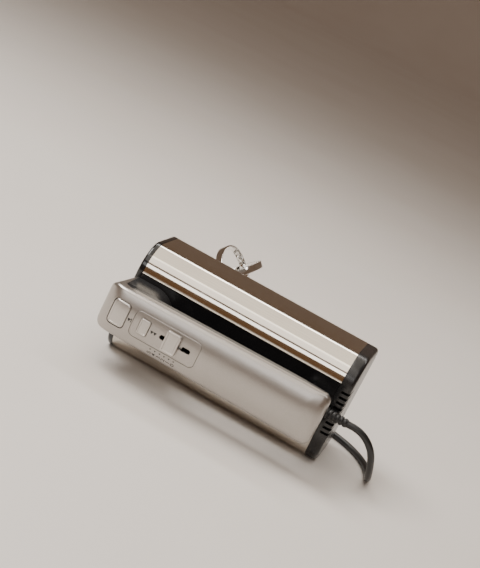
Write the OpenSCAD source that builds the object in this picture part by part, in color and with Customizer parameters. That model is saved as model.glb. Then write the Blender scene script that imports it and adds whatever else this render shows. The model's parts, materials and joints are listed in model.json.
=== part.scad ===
// Hand mixer, lying on its left side.
// Every sub-part is drawn upright, with +x to the nose, +y to the left and +z up from the
// underside, and laid() then turns it onto its left side. Sizes are in millimetres.

/* [Body] */
// Width across the steel side panels
body_w = 92; // [86:1:112]
// Height from the underside to the deck
body_h = 74; // [72:1:90]
// Length of the steel side panels
panel_l = 174; // [168:1:212]
// Length of the vented rear cap
rear_cap_l = 10; // [9:1:14]
// Length of the nose cap in front of the panels
nose_cap_l = 5; // [4:1:8]
// Radius of the upper shoulders
shoulder_r = 24; // [16:1:28]
// Radius of the lower edges
keel_r = 14; // [10:1:18]
// Wall of the plastic housing halves and caps
shell_wall = 2.2; // [1.8:0.1:3]
// Thickness of the steel side panels
panel_t = 0.8; // [0.5:0.1:1.2]
// Height of the seam between the housing halves
split_h = 40; // [34:1:44]
// Number of vent slots in the rear cap
vent_count = 9; // [5:2:11]
// Distance between vent slots
vent_pitch = 4.4; // [3.6:0.1:5]
// Width of a vent slot
vent_w = 2; // [1.2:0.1:2.4]
// Depth of the vent slots below the deck
vent_depth = 20; // [10:1:30]

/* [Handle] */
// Height of the handle's crown above the deck
handle_rise = 47; // [44:1:58]
// Half width of the handle at the heel
heel_half_w = 20.7; // [18:0.1:25]
// Half width of the handle at the nose
nose_half_w = 18.5; // [17:0.1:23]
// Corner radius of the heel, seen from above
heel_corner_r = 6; // [5:0.5:9]
// Corner radius of the nose, seen from above
nose_corner_r = 8; // [6:0.5:12]
// Radius of the crown across the handle
crown_r = 45; // [40:1:90]
// Radius of the nose where the crown turns down
nose_drop_r = 18; // [14:1:20]
// Radius of the heel where the crown turns down
heel_drop_r = 7; // [5:1:10]
// Wall of the handle cover and the grip
handle_wall = 2.2; // [1.8:0.1:2.8]
// Depth of the cover, from the crown to its lower edge
cover_drop = 13; // [12:0.5:14]
// Depth of the grip below the cover
grip_depth = 10; // [9:0.5:12]
// Step of the grip inside the cover's outline
grip_step = 1.2; // [0.6:0.1:2]
// Distance that the handle's nose stands in front of the nose cap
nose_overhang = 5; // [3:1:8]
// Half width of the front bridge, and the radius of its rear end
bridge_half_w = 19; // [17:0.5:20]
// Half width of the rear post
post_half_w = 8.5; // [7.5:0.5:12]

/* [Controls] */
// Length and width of the eject button
eject_size = [14, 20]; // [10:1:22]
// Distance from the handle's nose to the middle of the eject button
eject_setback = 17.5; // [16:0.5:22]
// Travel of the eject button
eject_travel = 6; // [4:0.5:6]
// Length and width of the control plate
plate_size = [55.4, 20.8]; // [18:0.2:62]
// Distance from the handle's nose to the front edge of the control plate
plate_setback = 29.8; // [28:0.1:34]
// Length and width of the turbo button
turbo_size = [8.2, 12.4]; // [6:0.2:14]
// Distance from the plate's front edge to the middle of the turbo button
turbo_setback = 9.5; // [8:0.1:12]
// Travel of the turbo button
turbo_travel = 2.5; // [1.5:0.1:3]
// Length and width of the speed slider's knob
knob_size = [12, 17]; // [8:0.5:18]
// Height of the knob above the plate
knob_h = 3; // [2:0.1:4]
// Distance between speed positions
speed_pitch = 4; // [3.5:0.1:4.2]

/* [Drive] */
// Height of the motor shaft above the underside
shaft_h = 42; // [40:1:44]
// Radius of the motor shaft
shaft_r = 2.5; // [2:0.1:2.8]
// Distance between the two spindles
spindle_gap = 38; // [36:1:46]
// Distance from the nose cap's front face to the spindles
spindle_setback = 41; // [40:1:48]
// Radius of a beater's shank
shank_r = 4; // [3:0.1:4.2]
// Outer radius of a spindle
spindle_r = 6; // [5.6:0.1:6.6]
// Radial running clearance of shafts in their bushes
running_gap = 0.05; // [0.02:0.01:0.1]
// Smallest pitch radius of the drive worm
worm_min_r = 5; // [4.6:0.1:5.4]
// Teeth of a worm wheel
wheel_teeth = 22; // [20:1:24]
// Distance from the rear cap to the middle of the stator
motor_setback = 65; // [62:1:70]
// Length of the stator's iron stack
stator_l = 26; // [22:1:30]
// Radius of the armature's iron core
armature_r = 12.6; // [11:0.1:13]
// Air gap between armature and stator
air_gap = 0.6; // [0.4:0.1:1]
// Radius of the cooling fan
fan_r = 21; // [16:1:24]

/* [Beaters] */
// Radius of a beater's strip cage
cage_r = 24.5; // [20:0.5:25]
// Height of the strip cage
cage_h = 74; // [60:1:90]
// Free shank between the underside and the cage
shank_free = 50; // [40:1:60]
// Width of a beater strip
strip_w = 6; // [5:0.5:7]
// Thickness of a beater strip
strip_t = 1.4; // [1:0.1:1.8]

/* [Cord] */
// Diameter of the cord
cord_d = 5.5; // [5:0.1:6]
// Length of the strain relief outside the handle
boot_l = 22; // [20:1:30]

/* [Hidden] */

// Facets of a round part, and steps of an outline's arc
$fn = 48;
arc_steps = 8;
// Overshoot of a cut, gap between parts that meet face to face, and gap round parts that move
over = 1;
seam_gap = 0.05;
fit_gap = 0.3;

// Places along the body
panel_x1 = rear_cap_l + panel_l;
nose_x = panel_x1 + nose_cap_l;
spindle_x = nose_x - spindle_setback;
stator_x = rear_cap_l + motor_setback;
rest_x = rear_cap_l + panel_l / 2;
rest_z = (keel_r + body_h - shoulder_r) / 2;

// Edges of the steel panels on the deck and on the underside
deck_turn_in = 1.5;
keel_turn_in = 4;
deck_half = body_w / 2 - shoulder_r + deck_turn_in;
ring_r = spindle_r + 2.6;
keel_half = max(body_w / 2 - keel_r - keel_turn_in, spindle_gap / 2 + ring_r + 0.4);
shell_inset = panel_t + seam_gap;
room_inset = shell_inset + shell_wall;

// Places on the handle
heel_x = rear_cap_l - 2;
handle_nose_x = nose_x + nose_overhang;
nose_lean = 4;
crown_z = body_h + handle_rise;
cover_edge_z = crown_z - cover_drop;
grip_z = cover_edge_z - grip_depth;
grip_floor_z = grip_z + handle_wall;
nose_strip_x = handle_nose_x - 9;
nose_strip_r = 7;
bridge_x = nose_x - 21;
bridge_front_x = nose_strip_x - seam_gap;
post_x = [rear_cap_l + 3, rear_cap_l + 21];
shelf_z = grip_z - 8;
shelf_t = 2.5;

// Places of the controls
eject_x = handle_nose_x - eject_setback;
plate_x1 = handle_nose_x - plate_setback;
plate_x0 = plate_x1 - plate_size[0];
plate_t = 1.4;
plate_proud = 0.1;
turbo_x = plate_x1 - turbo_setback;
slot_w = 3.5;
slot_front = plate_x1 - 23.2;
stem_size = [3, 2.2];
stem_end_gap = 0.8;
stem_offset = 4;
speed_steps_up = 3;
speed_steps_down = 2;
stem_x = slot_front - stem_end_gap - stem_size[0] / 2 - speed_steps_up * speed_pitch;
knob_x = stem_x + stem_offset;
slot_rear = stem_x - speed_steps_down * speed_pitch - stem_size[0] / 2 - 2;
button_gap = 0.35;
button_foot_z = crown_z - 9;
flange_t = 2.6;
flange_w = 2.4;
board_z = grip_floor_z + 3.8;
board_t = 1.6;
board_x = [plate_x0 - 2.8, plate_x1 + 1.8];
switch_h = 6.4;
eject_rod_r = 3;

// Worm and worm wheels: the wheels are as large as the body's width and the worm leave room for
case_wall = 2;
tooth_rise = 1.1;
tooth_fall = 1.4;
wheel_gap = 0.9;
case_gap = 0.6;
shoulder_room = 1.5;
spindle_y = spindle_gap / 2;
wheel_rim = tooth_rise + wheel_gap + case_gap + case_wall;
wheel_pitch_r = min(spindle_y - worm_min_r, body_w / 2 - room_inset - shoulder_room - spindle_y - wheel_rim);
worm_pitch_r = spindle_y - wheel_pitch_r;
lead = 2 * PI * wheel_pitch_r / wheel_teeth;
worm_turns = 5.5;
worm_x0 = spindle_x - worm_turns / 2 * lead;
wheel_t = 5;

// Gear case, spindles and ejector
case_half_x = wheel_pitch_r + 8;
case_half_y = spindle_y + wheel_pitch_r + wheel_rim;
case_z = [shaft_h - 16, shaft_h + 13];
cover_t = 2.5;
bush_wall = 2;
bush_l = 9;
bush_r = spindle_r + running_gap + bush_wall;
boss_r = bush_r + 2;
spindle_top_z = case_z[1] + cover_t;
shank_top_z = case_z[1] - 4;
fork_z = spindle_top_z + eject_travel + 1.5;
fork_t = 2.4;
pin_r = 3;
case_post = [case_half_x - 5, case_half_y - 5];
bearing_r = shaft_r + running_gap + 3;

// Motor
stator_half = [22, 20];
coil_slot = [5, 4];
coil_y = 14;
coil_z = 10;
coil_over = 5;
bracket_x = [rear_cap_l + 10, stator_x + 38];
bracket_t = 4;
screw_at = [19.6, 17.4];

// Housing screws
post_r = 4;
screw_r = 1.5;
screw_head_r = 2.8;
housing_post = [[rear_cap_l + 9.5, body_w / 2 - 13], [panel_x1 - 9, body_w / 2 - 13]];
handle_post_x = [heel_x + 37, plate_x0 - 13.5];

// Free cord: lead, coil and tail, in the laid position
exit_z = body_h + 7;
cord_r = cord_d / 2;
boot_r = [4.6, 3.4];
cord_sides = 8;
lead_route = [
  [106, -49, 46], [113, -49, 46], [120, -48, 44], [127, -46, 39], [132, -42, 32],
  [135, -37, 24], [137, -31, 16], [138, -23, 9], [138, -13, 5], [137, -2, 3], [134, 10, 2.8],
  [129, 22, 2.8], [122, 32, 2.8], [113, 41, 2.8], [102, 48, 2.8], [89, 53, 2.8], [75, 56, 2.8],
  [61, 56.8, 2.8], [48, 56.8, 2.8], [35, 56.8, 2.8]];
tail_route = [
  [-17.9, 98.1, 9.05], [-16.2, 108, 9.05], [-12.6, 118.5, 9], [-7, 128, 6.8], [0.5, 135.5, 4.8],
  [10, 140.6, 4.2], [21.5, 142.8, 5.2], [34, 143, 6.85]];
coil_at = [20, 94.8, 0.8];
coil_radii = [24.2, 40.8];
coil_h = 11;
tie_t = 0.7;
tie_gap = 0.3;
tie_w = 6;
plug_at = [34, 143, 6.85];
plug_l = 33;
plug_half_w = 12.5;
plug_tail_half_w = 6;
plug_h = 13.7;
plug_pin_l = 19;
plug_pin_r = 2;
plug_pin_gap = 19;

// Colours
steel = [0.78, 0.75, 0.70];
satin = [0.72, 0.72, 0.72];
black = [0.06, 0.06, 0.065];
grey = [0.16, 0.16, 0.17];
iron = [0.42, 0.43, 0.46];
copper = [0.78, 0.42, 0.20];
bronze = [0.68, 0.50, 0.26];
nylon = [0.90, 0.88, 0.80];
board_green = [0.12, 0.36, 0.20];

// ---------------------------------------------------------------- helpers

// Points of an arc, both ends included
function arc(x, y, r, from, to, steps = arc_steps) =
  [for (i = [0:steps]) let (a = from + (to - from) * i / steps) [x + r * cos(a), y + r * sin(a)]];

// Turns the upright mixer onto its left side, with the middle of that side at the origin
module laid() {
  translate([rest_x, rest_z, body_w / 2]) rotate([-90, 0, 180]) children();
}

// Extrudes a y,z outline from x0 to x1
module along_x(x0, x1) {
  translate([x0, 0, 0]) rotate([90, 0, 90]) linear_extrude(x1 - x0) children();
}

// Extrudes an x,z outline over the width from y0 to y1
module along_y(y0, y1) {
  translate([0, y1, 0]) rotate([90, 0, 0]) linear_extrude(y1 - y0) children();
}

// Extrudes an x,y outline from z0 to z1
module upright(z0, z1) {
  translate([0, 0, z0]) linear_extrude(z1 - z0) children();
}

// Round bar along x
module rod_x(r, x0, x1) {
  translate([x0, 0, 0]) rotate([0, 90, 0]) cylinder(r = r, h = x1 - x0);
}

// Round bar along z
module rod_z(r, z0, z1) {
  translate([0, 0, z0]) cylinder(r = r, h = z1 - z0);
}

// Block between two corners
module block(low, high) {
  translate(low) cube(high - low);
}

// Rectangle with round corners, centred
module round_rect(size, r) {
  half = size / 2 - [r, r];
  polygon(concat(arc(half[0], half[1], r, 0, 90), arc(-half[0], half[1], r, 90, 180),
    arc(-half[0], -half[1], r, 180, 270), arc(half[0], -half[1], r, 270, 360)));
}

// Cross-section of the body, moved inwards by inset
module body_shape(inset) {
  top_y = body_w / 2 - shoulder_r;
  low_y = body_w / 2 - keel_r;
  polygon(concat(
    arc(top_y, body_h - shoulder_r, shoulder_r - inset, 0, 90, 12),
    arc(-top_y, body_h - shoulder_r, shoulder_r - inset, 90, 180, 12),
    arc(-low_y, keel_r, keel_r - inset, 180, 270),
    arc(low_y, keel_r, keel_r - inset, 270, 360)));
}

// Plan of the handle, moved inwards by inset
module handle_plan(inset) {
  heel_y = heel_half_w - heel_corner_r;
  nose_y = nose_half_w - nose_corner_r;
  polygon(concat(
    arc(handle_nose_x - nose_corner_r, nose_y, nose_corner_r - inset, 0, 90),
    arc(heel_x + heel_corner_r, heel_y, heel_corner_r - inset, 90, 180),
    arc(heel_x + heel_corner_r, -heel_y, heel_corner_r - inset, 180, 270),
    arc(handle_nose_x - nose_corner_r, -nose_y, nose_corner_r - inset, 270, 360)));
}

// Side view of the cover: heel, crown and the nose that leans back to the deck
module handle_side(inset, low) {
  polygon(concat(
    [[heel_x + inset, low]],
    arc(heel_x + heel_drop_r, crown_z - heel_drop_r, heel_drop_r - inset, 180, 90),
    arc(handle_nose_x - nose_drop_r, crown_z - nose_drop_r, nose_drop_r - inset, 90, 0),
    [[handle_nose_x - nose_lean - inset, low]]));
}

// Crown across the handle, over everything below it
module handle_crown(inset, low) {
  polygon(concat(
    arc(0, crown_z - crown_r, crown_r - inset, 55, 125, 14),
    [[-heel_half_w - 8, low], [heel_half_w + 8, low]]));
}

// Whole solid inside the cover's outer faces, moved inwards by inset
module handle_solid(inset, low) {
  intersection() {
    upright(low - over, crown_z + over) handle_plan(inset);
    along_y(-heel_half_w - over, heel_half_w + over) handle_side(inset, low);
    along_x(heel_x - over, handle_nose_x + over) handle_crown(inset, low - over);
  }
}

// Plan of the front bridge: round at the rear, square at the front
module bridge_plan(inset) {
  r = bridge_half_w - inset;
  polygon(concat([[bridge_front_x - inset, r]], arc(bridge_x, 0, r, 90, 270, 16),
    [[bridge_front_x - inset, -r]]));
}

// Speed slot or the space of the stem that runs in it
module slot_plan(width) {
  translate([(slot_front + slot_rear) / 2, 0])
    round_rect([slot_front - slot_rear, width], width / 2 - 0.01);
}

// Side view of all that lies under the cover's edge: straight along the grip, then down the nose
module under_cover(inset) {
  polygon(concat([[heel_x - 2 * over, 0], [heel_x - 2 * over, cover_edge_z - inset]],
    arc(nose_strip_x - nose_strip_r, cover_edge_z - nose_strip_r, nose_strip_r - inset, 90, 0),
    [[nose_strip_x - inset, 0]]));
}

// Helical wire that stands on z = 0
module coil_spring(r, wire_r, height, turns) {
  sides = 6;
  steps = turns * 12;
  rise = (height - 2 * wire_r) / steps;
  points = [for (i = [0:steps], k = [0:sides - 1])
    let (a = 30 * i, b = 360 * k / sides, d = r + wire_r * cos(b))
    [d * cos(a), d * sin(a), wire_r + rise * i + wire_r * sin(b)]];
  polyhedron(points, tube_faces(steps + 1, sides));
}

// Faces of a closed tube of rings
function tube_faces(rings, sides) = concat(
  [[for (k = [0:sides - 1]) k]],
  [for (i = [0:rings - 2], k = [0:sides - 1]) let (n = (k + 1) % sides)
    [i * sides + k, (i + 1) * sides + k, (i + 1) * sides + n, i * sides + n]],
  [[for (k = [sides - 1:-1:0]) (rings - 1) * sides + k]]);

function unit(v) = v / norm(v);
function heading(route, i) =
  unit(route[min(i + 1, len(route) - 1)] - route[max(i - 1, 0)]);

// Round tube swept along a route of points
module swept_tube(route, r, sides) {
  points = [for (i = [0:len(route) - 1])
    let (d = heading(route, i), u = unit(cross(d, [0, 0, 1])), v = cross(u, d))
    for (k = [0:sides - 1]) let (a = 360 * (k + 0.5) / sides)
    route[i] + r * (cos(a) * u + sin(a) * v)];
  polyhedron(points, tube_faces(len(route), sides));
}

// ---------------------------------------------------------------- body shell

// Steel panel that wraps one side, from the deck's edge round to the underside
module side_panel(side) {
  intersection() {
    difference() {
      along_x(rear_cap_l, panel_x1) body_shape(0);
      along_x(rear_cap_l - over, panel_x1 + over) body_shape(panel_t);
      block([0, -deck_half, body_h / 2], [nose_x, deck_half, body_h + over]);
      block([0, -keel_half, -over], [nose_x, keel_half, body_h / 2]);
    }
    if (side > 0) block([0, 0, -over], [nose_x, body_w, body_h + over]);
    else block([0, -body_w, -over], [nose_x, 0, body_h + over]);
  }
}

module side_panel_right() {
  color(steel) laid() side_panel(-1);
}

module side_panel_left() {
  color(steel) laid() side_panel(1);
}

// Tube wall of a housing half, between x = rear cap and x = nose cap
module housing_wall() {
  difference() {
    along_x(rear_cap_l + seam_gap, panel_x1 - seam_gap) body_shape(shell_inset);
    along_x(rear_cap_l - over, panel_x1 + over) body_shape(room_inset);
  }
}

// Everything at the two screw posts of each side
module at_housing_posts() {
  for (p = housing_post, s = [-1, 1]) translate([p[0], s * p[1], 0]) children();
}

module upper_housing() {
  color(black) laid() difference() {
    union() {
      intersection() {
        housing_wall();
        block([0, -body_w, split_h], [nose_x, body_w, body_h + over]);
      }
      block([rear_cap_l + seam_gap, seam_gap - deck_half, body_h - room_inset],
        [panel_x1 - seam_gap, deck_half - seam_gap, body_h]);
      intersection() {
        at_housing_posts() rod_z(post_r, split_h, body_h);
        along_x(0, nose_x) body_shape(shell_inset);
      }
    }
    at_housing_posts() rod_z(screw_r + 0.01, split_h - over, split_h + 14);
    upright(body_h - room_inset - over, body_h + over) translate([eject_x - 6, 0]) round_rect([24, 16], 4);
    upright(body_h - room_inset - over, body_h + over) translate([(post_x[0] + post_x[1]) / 2, 0])
      round_rect([9, 8], 2);
  }
}

module lower_housing() {
  color(black) laid() difference() {
    union() {
      intersection() {
        housing_wall();
        block([0, -body_w, -over], [nose_x, body_w, split_h]);
      }
      block([rear_cap_l + seam_gap, seam_gap - keel_half, 0],
        [panel_x1 - seam_gap, keel_half - seam_gap, room_inset]);
      intersection() {
        union() {
          at_housing_posts() rod_z(post_r + 0.6, 0, split_h);
          for (sx = [-1, 1], sy = [-1, 1])
            translate([spindle_x + sx * case_post[0], sy * case_post[1], 0])
              rod_z(post_r, shell_wall, case_z[0] - seam_gap);
          for (x = bracket_x)
            block([x, -10, shell_wall], [x + bracket_t, 10, shaft_h - stator_half[1] - 4 - seam_gap]);
        }
        along_x(0, nose_x) body_shape(shell_inset);
      }
    }
    at_housing_posts() rod_z(screw_r + 0.3, -over, split_h + over);
    at_housing_posts() rod_z(screw_head_r + 0.4, -over, split_h / 4);
    for (sx = [-1, 1], sy = [-1, 1])
      translate([spindle_x + sx * case_post[0], sy * case_post[1], 0])
        rod_z(screw_r + 0.01, case_z[0] - 12, case_z[0] + over);
    for (s = [-1, 1]) translate([spindle_x, s * spindle_y, 0]) rod_z(ring_r, -over, 5);
  }
}

// Plate in front of the panels, with a stepped round edge and a lip inside the housing
module nose_cap() {
  step = 1.6;
  color(black) laid() difference() {
    union() {
      along_x(panel_x1, nose_x - step) body_shape(0);
      along_x(nose_x - step - over / 2, nose_x - step / 2) body_shape(step * 0.4);
      along_x(nose_x - step, nose_x) body_shape(step);
      along_x(panel_x1 - 4, panel_x1 + over) body_shape(room_inset + seam_gap);
    }
    along_x(panel_x1 - 5, nose_x - shell_wall) body_shape(room_inset + shell_wall);
  }
}

// Tub behind the panels, with a row of vent slots through its upper rear edge
module rear_cap() {
  step = 2.2;
  color(black) laid() difference() {
    union() {
      along_x(step, rear_cap_l) body_shape(0);
      along_x(step * 0.35, step + over) body_shape(step * 0.35);
      along_x(0, step) body_shape(step);
      along_x(rear_cap_l - over, rear_cap_l + 4) body_shape(room_inset + seam_gap);
    }
    along_x(shell_wall, rear_cap_l + 5) body_shape(room_inset + shell_wall);
    for (i = [0:vent_count - 1]) {
      y = (i - (vent_count - 1) / 2) * vent_pitch;
      block([-over, y - vent_w / 2, body_h - vent_depth], [rear_cap_l - 3, y + vent_w / 2, body_h + over]);
    }
  }
}

// ---------------------------------------------------------------- handle

// Lower half of the handle, in one moulding with the front bridge and the rear post
module handle_grip() {
  post_mid = (post_x[0] + post_x[1]) / 2;
  post_size = [post_x[1] - post_x[0], 2 * post_half_w];
  front_wall_z = button_foot_z - eject_travel - 2 * fit_gap;
  color(grey) laid() difference() {
    intersection() {
      along_y(-body_w, body_w) under_cover(seam_gap);
      union() {
        difference() {
          union() {
            upright(grip_z + 1.6, crown_z) handle_plan(grip_step);
            upright(grip_z, grip_z + 2) handle_plan(grip_step + 1.8);
          }
          upright(grip_floor_z, crown_z + over) handle_plan(grip_step + handle_wall);
        }
        difference() {
          union() {
            upright(body_h + seam_gap, grip_floor_z) bridge_plan(0);
            upright(body_h + seam_gap, body_h + 2) bridge_plan(-1);
            upright(body_h + seam_gap, grip_floor_z) translate([post_mid, 0]) round_rect(post_size, 5);
          }
          upright(body_h - over, crown_z) bridge_plan(handle_wall + 0.2);
          upright(body_h - over, crown_z) translate([post_mid, 0])
            round_rect(post_size - 2 * [handle_wall, handle_wall], 0.8);
        }
        block([nose_strip_x - handle_wall, -bridge_half_w + 2, body_h + seam_gap],
          [nose_strip_x, bridge_half_w - 2, front_wall_z]);
        difference() {
          upright(shelf_z, shelf_z + shelf_t) bridge_plan(1);
          translate([eject_x, 0, 0]) rod_z(eject_rod_r + 0.4, shelf_z - over, shelf_z + shelf_t + over);
          translate([bridge_x - 8, 0, 0]) rod_z(4, shelf_z - over, shelf_z + shelf_t + over);
        }
        for (x = [board_x[0] + 4, board_x[1] - 4], s = [-1, 1]) translate([x, s * 9, 0])
          rod_z(2, grip_floor_z - over, board_z - seam_gap);
      }
    }
    upright(grip_z - over, grip_floor_z + over) intersection() {
      bridge_plan(handle_wall + 0.2);
      translate([eject_x - 10, 0]) round_rect([36, 24], 8);
    }
    upright(grip_z - over, grip_floor_z + over) translate([post_mid, 0]) round_rect([9, 8], 2);
    for (x = handle_post_x) translate([x, 0, 0]) {
      rod_z(screw_r + 0.2, grip_z - over, grip_floor_z + over);
      rod_z(screw_head_r + 0.3, grip_z - over, grip_z + 1.2);
    }
    translate([0, 0, exit_z]) rod_x(boot_r[0] + seam_gap, post_x[0] - over, post_x[0] + handle_wall + over);
  }
}

// Crowned shell over the grip, down the nose to the deck
module handle_cover() {
  ledge = 2;
  color(satin) laid() difference() {
    union() {
      difference() {
        handle_solid(0, body_h + seam_gap);
        handle_solid(handle_wall, body_h - over);
      }
      intersection() {
        for (x = handle_post_x) translate([x, 0, 0]) rod_z(3.6, grip_floor_z + seam_gap, crown_z);
        handle_solid(handle_wall / 2, body_h);
      }
    }
    difference() {
      along_y(-body_w, body_w) under_cover(0);
      for (x = handle_post_x) translate([x, 0, 0]) rod_z(3.6, grip_floor_z + seam_gap, crown_z);
    }
    for (x = handle_post_x) translate([x, 0, 0]) rod_z(screw_r - 0.2, grip_z, crown_z - 5);
    upright(button_foot_z, crown_z + over) translate([eject_x, 0])
      round_rect(eject_size + 2 * [button_gap, button_gap], 3 + button_gap);
    upright(button_foot_z, crown_z + over) translate([(plate_x0 + plate_x1) / 2, 0])
      round_rect(plate_size - 2 * [ledge, ledge], 2);
    intersection() {
      upright(button_foot_z, crown_z + over) translate([(plate_x0 + plate_x1) / 2, 0])
        round_rect(plate_size + 2 * [seam_gap, seam_gap], 4);
      difference() {
        along_x(plate_x0 - over, plate_x1 + over) handle_crown(-over, 0);
        along_x(plate_x0 - 2 * over, plate_x1 + 2 * over) handle_crown(plate_t + seam_gap, -over);
      }
    }
  }
}

// Grooved plate that follows the crown, with the slider's slot and the turbo button's hole
module control_plate() {
  groove = 0.4;
  color(satin) laid() difference() {
    intersection() {
      upright(button_foot_z, crown_z + over) translate([(plate_x0 + plate_x1) / 2, 0])
        round_rect(plate_size, 4);
      difference() {
        along_x(plate_x0 - over, plate_x1 + over) handle_crown(-plate_proud, 0);
        along_x(plate_x0 - 2 * over, plate_x1 + 2 * over) handle_crown(plate_t, -over);
      }
    }
    upright(button_foot_z, crown_z + over) slot_plan(slot_w);
    upright(button_foot_z, crown_z + over) translate([turbo_x, 0])
      round_rect(turbo_size + 2 * [button_gap, button_gap], 1.5 + button_gap);
    block([turbo_x - turbo_size[0] / 2 - 3.6 - groove, -plate_size[1] / 2 + 2, crown_z - 0.4],
      [turbo_x - turbo_size[0] / 2 - 3.6, plate_size[1] / 2 - 2, crown_z + over]);
  }
}

module eject_button() {
  proud = 0.5;
  color(satin) laid() union() {
    intersection() {
      upright(button_foot_z, crown_z + 2) translate([eject_x, 0]) round_rect(eject_size, 3);
      handle_solid(-proud, body_h);
    }
    upright(button_foot_z, button_foot_z + flange_t) translate([eject_x, 0])
      round_rect(eject_size + [flange_w, flange_w], 3);
  }
}

module turbo_button() {
  proud = 1;
  color(satin) laid() union() {
    upright(button_foot_z, crown_z + proud) translate([turbo_x, 0]) round_rect(turbo_size, 1.5);
    upright(button_foot_z, button_foot_z + flange_t) translate([turbo_x, 0])
      round_rect(turbo_size + [flange_w, flange_w], 1.5);
  }
}

// Knob, its stem through the slot and the shoe that keeps it there
module speed_slider() {
  knob_z = crown_z + plate_proud + fit_gap;
  shoe_z = crown_z - handle_wall - 3.4;
  color(satin) laid() union() {
    upright(knob_z, knob_z + knob_h - 1) translate([knob_x, 0]) round_rect(knob_size, 2);
    upright(knob_z + knob_h - 1, knob_z + knob_h) translate([knob_x, 0])
      round_rect(knob_size - [1.6, 1.6], 1.5);
    block([stem_x - stem_size[0] / 2, -stem_size[1] / 2, board_z + board_t + 4],
      [stem_x + stem_size[0] / 2, stem_size[1] / 2, knob_z + 0.5]);
    block([stem_x - 4, -3.5, shoe_z], [stem_x + 4, 3.5, shoe_z + 1.8]);
  }
}

module control_board() {
  color(board_green) laid() difference() {
    block([board_x[0], -12, board_z], [board_x[1], 12, board_z + board_t]);
    for (x = [board_x[0] + 4, board_x[1] - 4], s = [-1, 1]) translate([x, s * 9, 0])
      rod_z(1, board_z - over, board_z + board_t + over);
  }
}

// Slide switch with a channel for the slider's stem
module speed_switch() {
  low_z = board_z + board_t + seam_gap;
  reach = [slot_rear + 1, slot_front + 0.8];
  color(black) laid() difference() {
    block([reach[0] - 4, -6, low_z], [reach[1] + 4, 6, low_z + switch_h]);
    block([reach[0], -stem_size[1] / 2 - 0.4, board_z + board_t + 3.6],
      [reach[1], stem_size[1] / 2 + 0.4, low_z + switch_h + over]);
  }
}

// Pillar that the turbo button meets at the end of its travel
module turbo_contact() {
  color(nylon) laid() translate([turbo_x, 0, 0])
    rod_z(1.6, board_z + board_t + seam_gap, button_foot_z - turbo_travel - seam_gap);
}

module suppressor_capacitor() {
  x = handle_post_x[1] - 7;
  color("goldenrod") laid()
    block([x - 18, -7, grip_floor_z + seam_gap], [x, 7, grip_floor_z + 9]);
}

// Rod under the eject button and a fork with a push pin over each shank
module ejector() {
  color(nylon) laid() union() {
    translate([eject_x, 0, 0]) rod_z(eject_rod_r, fork_z, button_foot_z - seam_gap);
    upright(fork_z, fork_z + fork_t) polygon([[eject_x + 5, -5], [eject_x + 5, 5],
      [spindle_x + 5, spindle_y + 5], [spindle_x - 5, spindle_y + 5], [spindle_x - 5, spindle_y - 5],
      [spindle_x + 8, 0], [spindle_x - 5, 5 - spindle_y], [spindle_x - 5, -spindle_y - 5],
      [spindle_x + 5, -spindle_y - 5]]);
    for (s = [-1, 1]) translate([spindle_x, s * spindle_y, 0])
      rod_z(pin_r, shank_top_z + fit_gap, fork_z + fork_t);
  }
}

module eject_spring() {
  low = shelf_z + shelf_t;
  color(iron) laid() translate([eject_x, 0, low + seam_gap])
    coil_spring(eject_rod_r + 1.4, 0.5, button_foot_z - low - 2 * seam_gap, 7);
}

module turbo_spring() {
  low = board_z + board_t;
  color(iron) laid() translate([turbo_x, 0, low + seam_gap])
    coil_spring(2.6, 0.4, button_foot_z - low - 2 * seam_gap, 4);
}

// ---------------------------------------------------------------- motor

// Laminated iron with a round bore and four slots for the coils' sides
module stator_core() {
  half_l = stator_l / 2;
  color(iron) laid() translate([stator_x, 0, shaft_h]) difference() {
    block([-half_l, -stator_half[0], -stator_half[1]], [half_l, stator_half[0], stator_half[1]]);
    rod_x(armature_r + air_gap, -half_l - over, half_l + over);
    for (sy = [-1, 1], sz = [-1, 1]) scale([1, sy, sz])
      block([-half_l - over, coil_y, coil_z], [half_l + over, coil_y + coil_slot[0], coil_z + coil_slot[1]]);
    for (sy = [-1, 1], sz = [-1, 1]) translate([0, sy * screw_at[0], sz * screw_at[1]])
      rod_x(screw_r + 0.02, -half_l - over, half_l + over);
  }
}

// Two flat coils, one round each pole
module field_coils() {
  out_x = stator_l / 2 + coil_over;
  in_x = stator_l / 2 + 0.2;
  color(copper) laid() translate([stator_x, 0, shaft_h]) for (s = [-1, 1]) difference() {
    scale([1, s, 1]) block([-out_x, coil_y + 0.1, -coil_z - coil_slot[1] + 0.1],
      [out_x, coil_y + coil_slot[0] - 0.1, coil_z + coil_slot[1] - 0.1]);
    scale([1, s, 1]) block([-in_x, coil_y - over, -coil_z - 0.1],
      [in_x, coil_y + coil_slot[0] + over, coil_z + 0.1]);
  }
}

module armature_core() {
  slots = 8;
  half_l = stator_l / 2 - 1;
  color(iron) laid() translate([stator_x, 0, shaft_h]) difference() {
    rod_x(armature_r, -half_l, half_l);
    rod_x(shaft_r, -half_l - over, half_l + over);
    for (i = [0:slots - 1]) rotate([360 * i / slots, 0, 0])
      block([-half_l - over, -0.8, armature_r - 4], [half_l + over, 0.8, armature_r + over]);
  }
}

// Winding heads on both ends of the armature core
module armature_windings() {
  head_l = 6;
  half_l = stator_l / 2 - 1;
  color(copper) laid() translate([stator_x, 0, shaft_h]) for (x = [-half_l - head_l, half_l])
    difference() {
      rod_x(armature_r - 2, x, x + head_l);
      rod_x(shaft_r, x - over, x + head_l + over);
    }
}

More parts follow.
